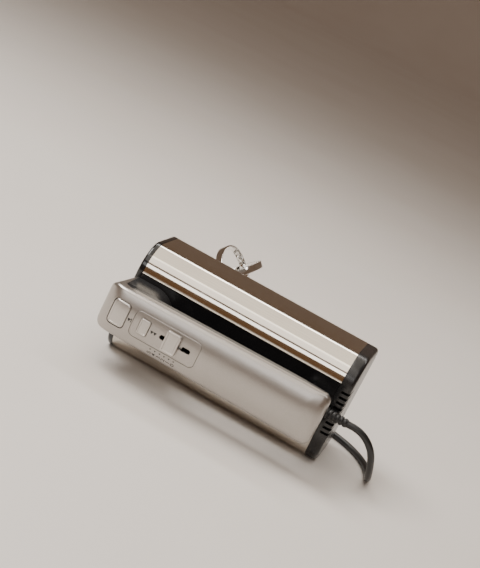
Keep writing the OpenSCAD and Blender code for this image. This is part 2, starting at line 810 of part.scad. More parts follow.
module commutator() {
  bars = 12;
  com_r = 8.5;
  x0 = stator_x - stator_l / 2 - 22;
  color(copper) laid() translate([0, 0, shaft_h]) difference() {
    rod_x(com_r, x0, x0 + 12);
    rod_x(shaft_r, x0 - over, x0 + 12 + over);
    for (i = [0:bars - 1]) rotate([360 * i / bars, 0, 0])
      block([x0 - over, -0.25, com_r - 1], [x0 + 12 + over, 0.25, com_r + over]);
  }
}

module motor_shaft() {
  color("silver") laid() translate([0, 0, shaft_h])
    rod_x(shaft_r, bracket_x[0] - 4, spindle_x + case_half_x + 6);
}

// Radius of the worm at an axial distance u from the middle of its thread
function thread_r(u) = worm_pitch_r + max(-tooth_fall, min(tooth_rise, (0.65 - u) * 5));

// Single-start worm: its section turns once for each lead
module drive_worm() {
  points = 16;
  color("silver") laid() translate([worm_x0, 0, shaft_h]) rotate([0, 90, 0]) difference() {
    linear_extrude(worm_turns * lead, twist = -360 * worm_turns, slices = worm_turns * 10)
      polygon([for (i = [0:points - 1]) let (a = 360 * i / points, u = lead * min(a, 360 - a) / 360)
        thread_r(u) * [cos(a), sin(a)]]);
    rod_z(shaft_r, -over, worm_turns * lead + over);
  }
}

module cooling_fan() {
  blades = 9;
  x0 = stator_x + stator_l / 2 + 10;
  color(nylon) laid() translate([x0, 0, shaft_h]) difference() {
    union() {
      rod_x(6, 0, 9);
      rod_x(fan_r, 0, 1.4);
      for (i = [0:blades - 1]) rotate([360 * i / blades, 0, 0]) block([1, -0.6, 5], [8, 0.6, fan_r - 0.6]);
    }
    rod_x(shaft_r, -over, 10);
  }
}

// Square tubes that hold the brushes against the commutator
module brush_holders() {
  x = stator_x - stator_l / 2 - 16;
  color(bronze) laid() translate([x, 0, shaft_h]) for (s = [-1, 1]) scale([1, s, 1]) difference() {
    block([-4, 10, -4], [4, 24, 4]);
    block([-3, 9, -3], [3, 23, 3]);
  }
}

module carbon_brushes() {
  x = stator_x - stator_l / 2 - 16;
  color(grey) laid() translate([x, 0, shaft_h]) for (s = [-1, 1]) scale([1, s, 1])
    block([-2.9, 8.7, -2.9], [2.9, 18, 2.9]);
}

// Plate with a boss for a shaft bearing and holes for the long motor screws
module motor_bracket(x) {
  translate([x, 0, shaft_h]) difference() {
    union() {
      block([0, -stator_half[0] - 1, -stator_half[1] - 4], [bracket_t, stator_half[0] + 1, stator_half[1]]);
      rod_x(bearing_r + 2, 0, bracket_t + 4);
    }
    rod_x(bearing_r, -over, bracket_t + 4 + over);
    for (sy = [-1, 1], sz = [-1, 1]) translate([0, sy * screw_at[0], sz * screw_at[1]])
      rod_x(screw_r + 0.02, -over, bracket_t + over);
  }
}

module rear_bracket() {
  color(black) laid() motor_bracket(bracket_x[0]);
}

module front_bracket() {
  color(black) laid() motor_bracket(bracket_x[1]);
}

// Sleeve bearings in both brackets and in the front wall of the gear case
module shaft_bearings() {
  nose_bearing_x = spindle_x + case_half_x - case_wall;
  color(bronze) laid() translate([0, 0, shaft_h]) {
    for (x = [bracket_x[0], bracket_x[1]]) difference() {
      rod_x(bearing_r, x, x + bracket_t + 4);
      rod_x(shaft_r + running_gap, x - over, x + bracket_t + 4 + over);
    }
    difference() {
      rod_x(bearing_r, nose_bearing_x, nose_bearing_x + case_wall + 3);
      rod_x(shaft_r + running_gap, nose_bearing_x - over, nose_bearing_x + case_wall + 3 + over);
    }
  }
}

// Long screws from the rear bracket through the stator into the front bracket
module motor_screws() {
  color("silver") laid() for (sy = [-1, 1], sz = [-1, 1])
    translate([0, sy * screw_at[0], shaft_h + sz * screw_at[1]]) union() {
      rod_x(screw_r, bracket_x[0] - 2, bracket_x[1] + bracket_t);
      rod_x(screw_head_r, bracket_x[0] - 2, bracket_x[0] - seam_gap);
    }
}

// ---------------------------------------------------------------- gears

module at_case_posts() {
  for (sx = [-1, 1], sy = [-1, 1])
    translate([spindle_x + sx * case_post[0], sy * case_post[1], 0]) children();
}

// Open box under the wheels, with a boss for each lower spindle bush
module gear_case() {
  wall = [case_wall, case_wall];
  size = 2 * [case_half_x, case_half_y];
  color(grey) laid() difference() {
    union() {
      difference() {
        upright(case_z[0], case_z[1]) translate([spindle_x, 0]) round_rect(size, 4);
        upright(case_z[0] + case_wall + 1, case_z[1] + over) translate([spindle_x, 0])
          round_rect(size - 2 * wall, 3);
      }
      at_case_posts() rod_z(3.4, case_z[0], case_z[1]);
      for (s = [-1, 1]) translate([spindle_x, s * spindle_y, 0])
        rod_z(boss_r, case_z[0] + case_wall + 1 - bush_l, case_z[0] + 1);
      translate([0, 0, shaft_h])
        rod_x(bearing_r + 2, spindle_x + case_half_x - case_wall, spindle_x + case_half_x + 3);
    }
    at_case_posts() rod_z(screw_r + 0.2, case_z[0] - over, case_z[1] + over);
    for (s = [-1, 1]) translate([spindle_x, s * spindle_y, 0])
      rod_z(bush_r, case_z[0] - bush_l, case_z[0] + 6);
    translate([0, 0, shaft_h]) {
      rod_x(bearing_r, spindle_x + case_half_x - 6, spindle_x + case_half_x + 4);
      rod_x(shaft_r + 3, spindle_x - case_half_x - over, spindle_x - case_half_x + 3);
    }
  }
}

// Lid of the gear case, with a boss for each upper spindle bush
module gear_cover() {
  size = 2 * [case_half_x, case_half_y];
  color(grey) laid() difference() {
    union() {
      upright(case_z[1] + seam_gap, case_z[1] + cover_t) translate([spindle_x, 0]) round_rect(size, 4);
      for (s = [-1, 1]) translate([spindle_x, s * spindle_y, 0])
        rod_z(boss_r, case_z[1] + cover_t - bush_l, case_z[1] + cover_t);
    }
    at_case_posts() rod_z(screw_r + 0.2, case_z[1] - over, case_z[1] + cover_t + over);
    for (s = [-1, 1]) translate([spindle_x, s * spindle_y, 0])
      rod_z(bush_r, case_z[1] + cover_t - bush_l - over, case_z[1] + cover_t + over);
  }
}

module gear_screws() {
  color("silver") laid() at_case_posts() union() {
    rod_z(screw_r, case_z[0] - 10, case_z[1] + cover_t + 1);
    rod_z(screw_head_r, case_z[1] + cover_t + seam_gap, case_z[1] + cover_t + 2);
  }
}

// Spur-cut wheel in mesh with the worm: phase is its first tooth's angle
module worm_wheel(phase) {
  tip_r = wheel_pitch_r + tooth_rise;
  root_r = wheel_pitch_r - tooth_fall;
  tip_half = 0.4;
  root_half = 0.9;
  outline = [for (i = [0:wheel_teeth - 1]) let (a = phase + 360 * i / wheel_teeth)
    for (p = [[root_r, -root_half], [tip_r, -tip_half], [tip_r, tip_half], [root_r, root_half]])
    [p[0] * cos(a) - p[1] * sin(a), p[0] * sin(a) + p[1] * cos(a)]];
  difference() {
    union() {
      upright(shaft_h - wheel_t / 2, shaft_h + wheel_t / 2) polygon(outline);
      rod_z(spindle_r + 2.4, shaft_h - 5, shaft_h + 5);
    }
    rod_z(spindle_r, shaft_h - 10, shaft_h + 10);
  }
}

module worm_wheel_left() {
  color(nylon) laid() translate([spindle_x, spindle_y, 0]) worm_wheel(-90);
}

module worm_wheel_right() {
  color(nylon) laid() translate([spindle_x, -spindle_y, 0]) worm_wheel(90 + 180 / wheel_teeth);
}

// Hollow spindle that takes the beater's shank from below
module spindle() {
  difference() {
    rod_z(spindle_r, -0.4, spindle_top_z);
    rod_z(shank_r + running_gap, -over, spindle_top_z + over);
  }
}

module spindle_left() {
  color("silver") laid() translate([spindle_x, spindle_y, 0]) spindle();
}

module spindle_right() {
  color("silver") laid() translate([spindle_x, -spindle_y, 0]) spindle();
}

// Lower and upper bushes of both spindles
module spindle_bushes() {
  lows = [case_z[0] + case_wall + 1 - bush_l, case_z[1] + cover_t - bush_l];
  color(bronze) laid() for (s = [-1, 1], z = lows) translate([spindle_x, s * spindle_y, 0]) difference() {
    rod_z(bush_r, z, z + bush_l);
    rod_z(spindle_r + running_gap, z - over, z + bush_l + over);
  }
}

// Bright rings round the two sockets in the underside
module socket_rings() {
  color("silver") laid() for (s = [-1, 1]) translate([spindle_x, s * spindle_y, 0]) difference() {
    rod_z(ring_r, -0.8, 2.2);
    rod_z(spindle_r + 0.6, -over, 3);
  }
}

// ---------------------------------------------------------------- fasteners

module housing_screws() {
  color("silver") laid() at_housing_posts() union() {
    rod_z(screw_r, split_h / 4 - 1, split_h + 12);
    rod_z(screw_head_r, split_h / 4 - 2, split_h / 4);
  }
}

module handle_screws() {
  color("silver") laid() for (x = handle_post_x) translate([x, 0, 0]) union() {
    rod_z(screw_r - 0.2, grip_z + 0.4, crown_z - 7);
    rod_z(screw_head_r, grip_z + 0.1, grip_z + 1.2);
  }
}

// ---------------------------------------------------------------- beaters

// Half outline of the strip cage: radius and height for an angle from the top
function cage_point(a, inset) =
  [(cage_r - inset) * pow(sin(a), 0.72), -shank_free - cage_h / 2 + (cage_h / 2 - inset) * cos(a)];

// Closed strip loop in one plane through the axis
module strip_loop() {
  angles = [for (i = [0:14]) 8 + 172 * i / 14];
  right_out = [for (a = angles) cage_point(a, 0)];
  right_in = [for (a = angles) cage_point(a, strip_t)];
  translate([0, strip_w / 2, 0]) rotate([90, 0, 0]) linear_extrude(strip_w) difference() {
    polygon(concat(right_out, [for (i = [13:-1:0]) [-right_out[i][0], right_out[i][1]]]));
    polygon(concat(right_in, [for (i = [13:-1:0]) [-right_in[i][0], right_in[i][1]]]));
  }
}

// Shank, collar, hub and two crossing strip loops
module beater(turn, collar_r) {
  union() {
    rod_z(shank_r, -shank_free - 4, shank_top_z);
    rod_z(collar_r, -7, -4);
    rod_z(shank_r + 1.8, -shank_free - 5, -shank_free + 1);
    rod_z(3.5, -shank_free - cage_h, -shank_free - cage_h + 3);
    for (a = [0, 90]) rotate([0, 0, a + turn]) strip_loop();
  }
}

module beater_left() {
  color("silver") laid() translate([spindle_x, spindle_y, 0]) beater(0, 8.5);
}

module beater_right() {
  color("silver") laid() translate([spindle_x, -spindle_y, 0]) beater(45, 6.5);
}

// ---------------------------------------------------------------- cord

// Tapered boot through the rear post's wall, with a flange inside it
module strain_relief() {
  wall_x = post_x[0];
  color(black) laid() translate([0, 0, exit_z]) union() {
    translate([wall_x, 0, 0]) rotate([0, -90, 0]) cylinder(r1 = boot_r[0], r2 = boot_r[1], h = boot_l);
    rod_x(boot_r[0], wall_x, wall_x + handle_wall + seam_gap);
    rod_x(boot_r[0] + 1.2, wall_x + handle_wall + seam_gap, wall_x + handle_wall + 1.6);
  }
}

module power_cord() {
  color(black) swept_tube(lead_route, cord_r, cord_sides);
}

module cord_tail() {
  color(black) swept_tube(tail_route, cord_r, cord_sides);
}

module cord_coil() {
  color(black) translate(coil_at) difference() {
    cylinder(r = coil_radii[1], h = coil_h);
    translate([0, 0, -over]) cylinder(r = coil_radii[0], h = coil_h + 2 * over);
  }
}

// Band round the bundle of turns
module cord_tie() {
  room = [coil_radii[1] - coil_radii[0] + tie_gap, coil_h + seam_gap];
  color(grey) translate([coil_at[0] + coil_radii[0], coil_at[1], coil_at[2]]) difference() {
    block([-tie_t - tie_gap, -tie_w / 2, -tie_t - seam_gap], [room[0] + tie_t, tie_w / 2, room[1] + tie_t]);
    block([-tie_gap, -tie_w, -seam_gap], [room[0], tie_w, room[1]]);
  }
}

// Flat two-pin plug, wider at its face than at the cord
module plug_body() {
  color(black) translate(plug_at) difference() {
    translate([0, 0, -plug_h / 2]) linear_extrude(plug_h) polygon([[0, -plug_tail_half_w],
      [plug_l * 0.45, -plug_half_w], [plug_l, -plug_half_w + 1], [plug_l, plug_half_w - 1],
      [plug_l * 0.45, plug_half_w], [0, plug_tail_half_w]]);
    for (s = [-1, 1]) translate([0, s * plug_pin_gap / 2, 0]) rod_x(plug_pin_r, plug_l - 6, plug_l + over);
  }
}

module plug_pins() {
  color("silver") translate(plug_at) for (s = [-1, 1]) translate([0, s * plug_pin_gap / 2, 0])
    rod_x(plug_pin_r, plug_l - 6, plug_l + plug_pin_l);
}

// ---------------------------------------------------------------- nodes

side_panel_right();
side_panel_left();
upper_housing();
lower_housing();
nose_cap();
rear_cap();
handle_grip();
handle_cover();
control_plate();
eject_button();
turbo_button();
speed_slider();
control_board();
speed_switch();
turbo_contact();
suppressor_capacitor();
ejector();
eject_spring();
turbo_spring();
stator_core();
field_coils();
armature_core();
armature_windings();
commutator();
motor_shaft();
drive_worm();
cooling_fan();
brush_holders();
carbon_brushes();
rear_bracket();
front_bracket();
shaft_bearings();
motor_screws();
gear_case();
gear_cover();
gear_screws();
worm_wheel_left();
worm_wheel_right();
spindle_left();
spindle_right();
spindle_bushes();
socket_rings();
housing_screws();
handle_screws();
beater_left();
beater_right();
strain_relief();
power_cord();
cord_coil();
cord_tail();
cord_tie();
plug_body();
plug_pins();
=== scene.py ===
"""Looks of a hand mixer that lies on its left side: body, handle, controls, beaters and cord."""

import json
import logging
import math
from collections.abc import Callable, Iterable, Sequence
from dataclasses import dataclass, field
from enum import Enum

import bmesh
import bpy
from bmesh.types import BMEdge, BMesh, BMFace, BMVert
from bpy.types import Material, Node, NodeSocket, NodeTree, Object
from mathutils import Matrix, Quaternion, Vector


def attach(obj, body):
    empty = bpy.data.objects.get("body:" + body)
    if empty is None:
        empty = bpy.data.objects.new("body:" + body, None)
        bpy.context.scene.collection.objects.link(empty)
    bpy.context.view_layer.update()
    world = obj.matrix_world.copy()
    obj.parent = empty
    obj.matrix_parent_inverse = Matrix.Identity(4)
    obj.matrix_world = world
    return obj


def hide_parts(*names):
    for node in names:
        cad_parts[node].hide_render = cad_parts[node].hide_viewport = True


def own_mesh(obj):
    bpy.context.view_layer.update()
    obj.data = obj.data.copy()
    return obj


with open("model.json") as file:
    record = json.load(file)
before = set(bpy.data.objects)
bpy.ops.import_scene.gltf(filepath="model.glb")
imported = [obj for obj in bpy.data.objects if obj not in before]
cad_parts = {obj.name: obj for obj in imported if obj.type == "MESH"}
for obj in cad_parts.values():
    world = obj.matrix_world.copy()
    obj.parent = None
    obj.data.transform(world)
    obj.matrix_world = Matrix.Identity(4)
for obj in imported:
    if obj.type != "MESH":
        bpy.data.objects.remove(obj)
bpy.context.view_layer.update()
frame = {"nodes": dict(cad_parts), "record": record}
LOG = logging.getLogger("mixer")

MM = 0.001
# The mixer is drawn upright in millimetres, +X to the nose, +Y to its left, +Z up from its
# underside, and LAID turns it onto its left side, in metres.
LAID = Matrix(((-MM, 0, 0, 0.097), (0, 0, -MM, 0.032), (0, -MM, 0, 0.046), (0, 0, 0, 1)))
FLAT = Matrix.Scale(MM, 4)
ORIGIN = (0, 0, 0)
AXIS_X, AXIS_Y, AXIS_Z = Vector((1, 0, 0)), Vector((0, 1, 0)), Vector((0, 0, 1))
SAME, NEAR, SEAM = 1e-4, 0.01, 0.05  # millimetres: one place, at one height, the gap in a seam
SHARP = 1.2  # radians between two faces
INK_SAME, INK_THICK = 0.004, 0.05  # millimetres

Colour = tuple[float, float, float]
Point = Sequence[float]
Height = Callable[[float, float], float]


# ---------------------------------------------------------------- small helpers


def of_kind(geom: Iterable, kind: type) -> list:
    """The parts of an operator's result that are of one kind."""
    return [g for g in geom if isinstance(g, kind)]


def merge(bm: BMesh) -> None:
    """Makes one vertex of those that lie in the same place."""
    bmesh.ops.remove_doubles(bm, verts=bm.verts[:], dist=SAME)


def face_out(bm: BMesh) -> None:
    """Turns all faces outwards."""
    bmesh.ops.recalc_face_normals(bm, faces=bm.faces[:])


def inset(bm: BMesh, face: BMFace, thickness: float) -> None:
    """Shrinks a face within its outline and fills round it."""
    bmesh.ops.inset_region(bm, faces=[face], thickness=thickness, use_boundary=True, use_even_offset=True)


def into_scene(made: Object) -> Object:
    """Puts an object into the scene."""
    bpy.context.scene.collection.objects.link(made)
    return made


def as_seen(made: Object) -> Object:
    """An object with its modifiers and its font worked out."""
    return made.evaluated_get(bpy.context.evaluated_depsgraph_get())


def middle_and_length(ends: tuple[float, float]) -> tuple[float, float]:
    """The middle of a stretch, and its length."""
    return sum(ends) / 2, ends[1] - ends[0]


# ---------------------------------------------------------------- drawing and shaping


class Sketch:
    """A chain of edges that walks straight and turns round centres."""

    def __init__(self, start: Point) -> None:
        """Starts the chain.

        Args:
            start: the first point, in millimetres.
        """
        self.bm = bmesh.new()
        self.tip = bmesh.ops.create_vert(self.bm, co=start)["vert"][0]

    def line(self, to: Point) -> "Sketch":
        """Walks straight to a point."""
        made = bmesh.ops.extrude_vert_indiv(self.bm, verts=[self.tip])
        self.tip = made["verts"][0]
        self.tip.co = to
        return self

    def arc(self, centre: Point, degrees: float, axis: Vector = AXIS_Z, steps: int = 8) -> "Sketch":
        """Turns the tip round a centre.

        Args:
            centre: the point to turn round.
            degrees: the angle, counter-clockwise seen against the axis.
            axis: the axis of the turn.
            steps: the number of edges of the arc.

        Returns:
            The sketch itself.
        """
        made = bmesh.ops.spin(self.bm, geom=[self.tip], cent=centre, axis=axis, dvec=(0, 0, 0),
                              angle=math.radians(degrees), steps=steps, use_merge=False)
        self.tip = next(g for g in made["geom_last"] if isinstance(g, BMVert))
        return self

    def close(self) -> BMFace:
        """Joins the tip to the start and fills the outline."""
        merge(self.bm)
        ends = [v for v in self.bm.verts if len(v.link_edges) == 1]
        if len(ends) == 2:
            bmesh.ops.contextual_create(self.bm, geom=ends)
        bmesh.ops.contextual_create(self.bm, geom=self.bm.edges[:])
        self.bm.faces.ensure_lookup_table()
        return self.bm.faces[0]


def rounded_rect(centre: Point, size: Point, radius: float, steps: int = 6) -> Sketch:
    """Draws a rectangle with round corners, flat in x and y.

    Args:
        centre: the middle, three numbers.
        size: length and width.
        radius: the corner radius.
        steps: the edges of each corner.

    Returns:
        The open sketch, ready to close.
    """
    cx, cy, cz = centre
    hx, hy = size[0] / 2 - radius, size[1] / 2 - radius
    sketch = Sketch((cx + hx + radius, cy - hy, cz)).line((cx + hx + radius, cy + hy, cz))
    sketch.arc((cx + hx, cy + hy, cz), 90, steps=steps).line((cx - hx, cy + hy + radius, cz))
    sketch.arc((cx - hx, cy + hy, cz), 90, steps=steps).line((cx - hx - radius, cy - hy, cz))
    sketch.arc((cx - hx, cy - hy, cz), 90, steps=steps).line((cx + hx, cy - hy - radius, cz))
    return sketch.arc((cx + hx, cy - hy, cz), 90, steps=steps)


def pull(bm: BMesh, faces: Sequence[BMFace], by: Point, keep: bool = True) -> list[BMFace]:
    """Extrudes faces and moves the new ones.

    Args:
        bm: the mesh.
        faces: the faces to extrude.
        by: the move, in millimetres.
        keep: whether the first faces stay, as the floor of a closed body.

    Returns:
        The moved faces.
    """
    made = bmesh.ops.extrude_face_region(bm, geom=list(faces), use_keep_orig=True)["geom"]
    if not keep:
        bmesh.ops.delete(bm, geom=list(faces), context="FACES_ONLY")
    bmesh.ops.translate(bm, verts=of_kind(made, BMVert), vec=by)
    return of_kind(made, BMFace)


def pull_edges(bm: BMesh, edges: Sequence[BMEdge]) -> tuple[list[BMVert], list[BMEdge]]:
    """Extrudes edges in place, and gives the new vertices and edges."""
    made = bmesh.ops.extrude_edge_only(bm, edges=edges)["geom"]
    return of_kind(made, BMVert), of_kind(made, BMEdge)


def band(bm: BMesh, face: BMFace, thickness: float, by: Point, radius: float, segments: int) -> None:
    """Turns a filled outline into a closed band of strip.

    Args:
        bm: the mesh.
        face: the outline's face.
        thickness: how thick the strip is.
        by: how far the strip is drawn across.
        radius: the rounding of its edges.
        segments: the faces across each rounding.
    """
    inset(bm, face, thickness)
    bmesh.ops.delete(bm, geom=[face], context="FACES_ONLY")
    pull(bm, bm.faces[:], by)
    face_out(bm)
    soften(bm, sharp_edges(bm), radius, segments)


def soften(bm: BMesh, edges: Iterable[BMEdge], radius: float, segments: int = 3) -> None:
    """Rounds edges with a bevel."""
    bmesh.ops.bevel(bm, geom=list(edges), offset=radius, offset_type="OFFSET", segments=segments,
                    profile=0.5, affect="EDGES", clamp_overlap=True, material=-1)


def edges_at(bm: BMesh, test: Callable[[Vector], bool]) -> list[BMEdge]:
    """Edges whose two ends both pass a test on their place."""
    return [e for e in bm.edges if all(test(v.co) for v in e.verts)]


def open_edges(bm: BMesh) -> list[BMEdge]:
    """Edges along an open side of a mesh."""
    return [e for e in bm.edges if e.is_boundary]


def sharp_edges(bm: BMesh) -> list[BMEdge]:
    """Edges where two faces meet at more than SHARP."""
    return [e for e in bm.edges if len(e.link_faces) == 2 and e.calc_face_angle(0) > SHARP]


def block(bm: BMesh, low: Point, high: Point, radius: float = 0.0, segments: int = 3) -> None:
    """Adds a box between two corners, with all its edges rounded.

    Args:
        bm: the mesh to add it to.
        low: the lowest corner.
        high: the highest corner.
        radius: the rounding of its edges.
        segments: the faces across each rounding.
    """
    low, high = Vector(low), Vector(high)
    place = Matrix.Translation((low + high) / 2) @ Matrix.Diagonal([*(high - low), 1])
    made = bmesh.ops.create_cube(bm, size=1, matrix=place)["verts"]
    if radius:
        soften(bm, {e for v in made for e in v.link_edges}, radius, segments)


def slab(bm: BMesh, x: float, half: tuple[float, float], low: float, high: float, radius: float) -> None:
    """Adds a rounded box that stands between two heights, centred across."""
    block(bm, (x - half[0], -half[1], low), (x + half[0], half[1], high), radius, 2)


def lathe(profile: Sequence[Point], at: Point = (0, 0, 0), axis: Vector = AXIS_Z, steps: int = 40) -> BMesh:
    """Turns a profile into a closed round body.

    Args:
        profile: radius and height pairs, from one end to the other. A body whose ends are at
            radius 0 is closed there, and a profile that ends where it starts is a ring.
        at: the middle of the turning axis.
        axis: the direction of the axis, z or x.
        steps: the faces round it.

    Returns:
        The new mesh.
    """
    sketch = Sketch((profile[0][0], 0, profile[0][1]))
    for radius, height in profile[1:]:
        sketch.line((radius, 0, height))
    bm = sketch.bm
    merge(bm)
    bmesh.ops.spin(bm, geom=bm.verts[:] + bm.edges[:], cent=ORIGIN, axis=AXIS_Z, dvec=ORIGIN,
                   angle=math.tau, steps=steps, use_merge=True)
    merge(bm)
    turn = Matrix.Identity(4) if axis == AXIS_Z else Matrix.Rotation(math.pi / 2, 4, "Y")
    bmesh.ops.transform(bm, matrix=Matrix.Translation(at) @ turn, verts=bm.verts[:])
    return bm


def gather(bm: BMesh, *others: BMesh) -> BMesh:
    """Adds other meshes to one, and frees them."""
    for other in others:
        loose = bpy.data.meshes.new("loose")
        other.to_mesh(loose)
        bm.from_mesh(loose)
        other.free()
        bpy.data.meshes.remove(loose)
    return bm


def slice_up(bm: BMesh, xs: Iterable[float], ys: Iterable[float]) -> None:
    """Cuts a flat mesh along lines of equal x and of equal y, so that it can bend."""
    for normal, places in ((AXIS_X, xs), (AXIS_Y, ys)):
        for place in places:
            bmesh.ops.bisect_plane(bm, geom=bm.verts[:] + bm.edges[:] + bm.faces[:], dist=SAME,
                                   plane_co=normal * place, plane_no=normal)


def steps_between(low: float, high: float, count: int) -> list[float]:
    """Evenly spaced numbers from low to high, both included."""
    return [low + (high - low) * i / (count - 1) for i in range(count)]


def round_cuts(centre: float, radius: float, degrees: Iterable[int]) -> list[float]:
    """Places across a quarter round, closer together where it gets steep."""
    return [centre + radius * math.sin(math.radians(a)) for a in degrees]


@dataclass
class Cap:
    """A moulded cap: a flat outline that is ringed, sliced, lifted onto a surface and given walls.

    Attributes:
        outline: the open sketch of its plan.
        surface: the height of its top over any x and y.
        edge_r: the rounding between its top and its walls.
        low: the height of its walls' lower end over any x and y.
        xs: where it is cut across, so that its top can bend.
        ys: where it is cut along.
        dish: how far its middle is sunk, if at all.
        dish_rim: the width of the rim round that dish.
        dish_slope: the width of the dish's slope for each millimetre of its depth.
    """

    outline: Sketch
    surface: Height
    edge_r: float
    low: Height
    xs: Sequence[float] = ()
    ys: Sequence[float] = ()
    dish: float = 0.0
    dish_rim: float = 1.4
    dish_slope: float = 0.8

    def build(self) -> BMesh:
        """Builds the cap, open below.

        Returns:
            The new mesh, with its boundary at the walls' lower end.
        """
        top = self.outline.close()
        bm = self.outline.bm
        depth = bm.verts.layers.float.new("depth")
        angles = [math.radians(a) for a in (18, 36, 54, 72, 90)]
        insets = [self.edge_r * (1 - math.cos(a)) for a in angles]
        drops = [self.edge_r] + [self.edge_r * (1 - math.sin(a)) for a in angles]
        if self.dish:
            rim = self.edge_r + self.dish_rim
            insets += [rim, rim + self.dish_slope * self.dish]
            drops += [0, self.dish]
        for v in bm.verts:
            v[depth] = drops[0]
        done = 0.0
        for reach, drop in zip(insets, drops[1:]):
            inset(bm, top, reach - done)
            done = reach
            for v in top.verts:
                v[depth] = drop
        slice_up(bm, self.xs, self.ys)
        for v in bm.verts:
            v.co.z = self.surface(v.co.x, v.co.y) - v[depth]
        for v in pull_edges(bm, open_edges(bm))[0]:
            v.co.z = self.low(v.co.x, v.co.y)
        return bm

    def build_closed(self) -> BMesh:
        """Builds the cap and fills its open lower end."""
        bm = self.build()
        bmesh.ops.contextual_create(bm, geom=open_edges(bm))
        return bm


def give_wall(bm: BMesh, wall: float) -> BMesh:
    """Gives an open shell a wall towards its inside."""
    face_out(bm)
    bmesh.ops.solidify(bm, geom=bm.faces[:], thickness=wall)
    return bm


# ---------------------------------------------------------------- finishes


class Nodes:
    """Places nodes in a tree and joins them."""

    def __init__(self, tree: NodeTree) -> None:
        """Keeps the tree that nodes are placed in."""
        self.tree = tree

    def fill(self, node: Node, inputs: dict) -> None:
        """Gives a node's inputs, by name or number, their sockets or values."""
        for name, value in inputs.items():
            if isinstance(value, NodeSocket):
                self.tree.links.new(value, node.inputs[name])
            else:
                node.inputs[name].default_value = value

    def add(self, kind: str, inputs: dict | None = None, **settings: object) -> Node:
        """Places a node.

        Args:
            kind: its type, without the ShaderNode prefix.
            inputs: values or sockets for its inputs, by name or number.
            settings: its own properties.

        Returns:
            The new node.
        """
        node = self.tree.nodes.new("ShaderNode" + kind)
        for name, value in settings.items():
            setattr(node, name, value)
        self.fill(node, inputs or {})
        return node

    def maths(self, operation: str, *values: object) -> NodeSocket:
        """A Math node's result."""
        return self.add("Math", dict(enumerate(values)), operation=operation).outputs[0]

    def between(self, mask: NodeSocket, low: float, high: float) -> NodeSocket:
        """A value that goes from low to high as a mask goes from 0 to 1."""
        return self.add("MapRange", {"Value": mask, "To Min": low, "To Max": high}).outputs["Result"]

    def part_of(self, value: NodeSocket, low: float, high: float) -> NodeSocket:
        """A mask that goes from 0 to 1 as a value goes from low to high."""
        return self.add("MapRange", {"Value": value, "From Min": low, "From Max": high}).outputs["Result"]

    def mix(self, factor: object, one: object, other: object) -> NodeSocket:
        """A colour between two others."""
        node = self.add("Mix", data_type="RGBA")
        self.fill(node, {0: factor, 6: one, 7: other})
        return node.outputs[2]

    def object_space(self, stretch: Point = (1, 1, 1)) -> NodeSocket:
        """Object coordinates, stretched."""
        place = self.add("TexCoord").outputs["Object"]
        return self.add("Mapping", {"Vector": place, "Scale": stretch}).outputs["Vector"]

    def texture(self, kind: str, given: Node, **more: object) -> Node:
        """A texture at the place and the scale that a group is given."""
        where = {"Vector": given.outputs["Place"], "Scale": given.outputs["Scale"]}
        return self.add("Tex" + kind, where | more)

    def effect(self, name: str, place: NodeSocket, scale: float, **more: object) -> Node:
        """Places one of the shared effects."""
        return self.add("Group", {"Place": place, "Scale": scale} | more, node_tree=effect(name))


def wire_grain(nodes: Nodes, given: Node, out: Node) -> None:
    """Fine moulded grain: a height and a mask of its valleys."""
    noise = nodes.texture("Noise", given, Detail=3.0)
    cells = nodes.texture("Voronoi", given)
    height = nodes.maths("ADD", noise.outputs[0], nodes.maths("MULTIPLY", cells.outputs["Distance"], 0.6))
    nodes.fill(out, {"Height": height, "Mask": noise.outputs[0]})


def wire_handling(nodes: Nodes, given: Node, out: Node) -> None:
    """Smears and fingerprints: soft patches with finer streaks inside them."""
    patch = nodes.texture("Noise", given, Detail=2.0, Distortion=0.8)
    finer = nodes.maths("MULTIPLY", given.outputs["Scale"], 11.0)
    fine = nodes.texture("Noise", given, Scale=finer, Detail=4.0, Distortion=1.5)
    spread = nodes.part_of(patch.outputs[0], 0.45, 0.72)
    nodes.fill(out, {"Mask": nodes.maths("MULTIPLY", spread, fine.outputs[0])})


def wire_drawn(nodes: Nodes, given: Node, out: Node) -> None:
    """Drawn or polished metal: hairlines along the stretched direction."""
    lines = nodes.texture("Noise", given, Detail=5.0, Roughness=0.7)
    mask = nodes.part_of(lines.outputs[0], 0.3, 0.7)
    nodes.fill(out, {"Height": lines.outputs[0], "Mask": mask})


def wire_tint(nodes: Nodes, given: Node, out: Node) -> None:
    """Slow drift of colour between two tones."""
    drift = nodes.texture("Noise", given, Detail=2.0)
    spread = nodes.part_of(drift.outputs[0], 0.3, 0.7)
    nodes.fill(out, {"Color": nodes.mix(spread, given.outputs["Light"], given.outputs["Dark"])})


# What fills each shared group, then its further inputs and its outputs.
EFFECTS: dict[str, tuple[Callable[[Nodes, Node, Node], None], tuple[str, ...], tuple[str, ...]]] = {
    "moulded grain": (wire_grain, (), ("Height", "Mask")),
    "handling marks": (wire_handling, (), ("Mask",)),
    "drawn lines": (wire_drawn, (), ("Height", "Mask")),
    "tint drift": (wire_tint, ("Light", "Dark"), ("Color",)),
}
SOCKETS = {"Place": "Vector", "Light": "Color", "Dark": "Color", "Color": "Color"}


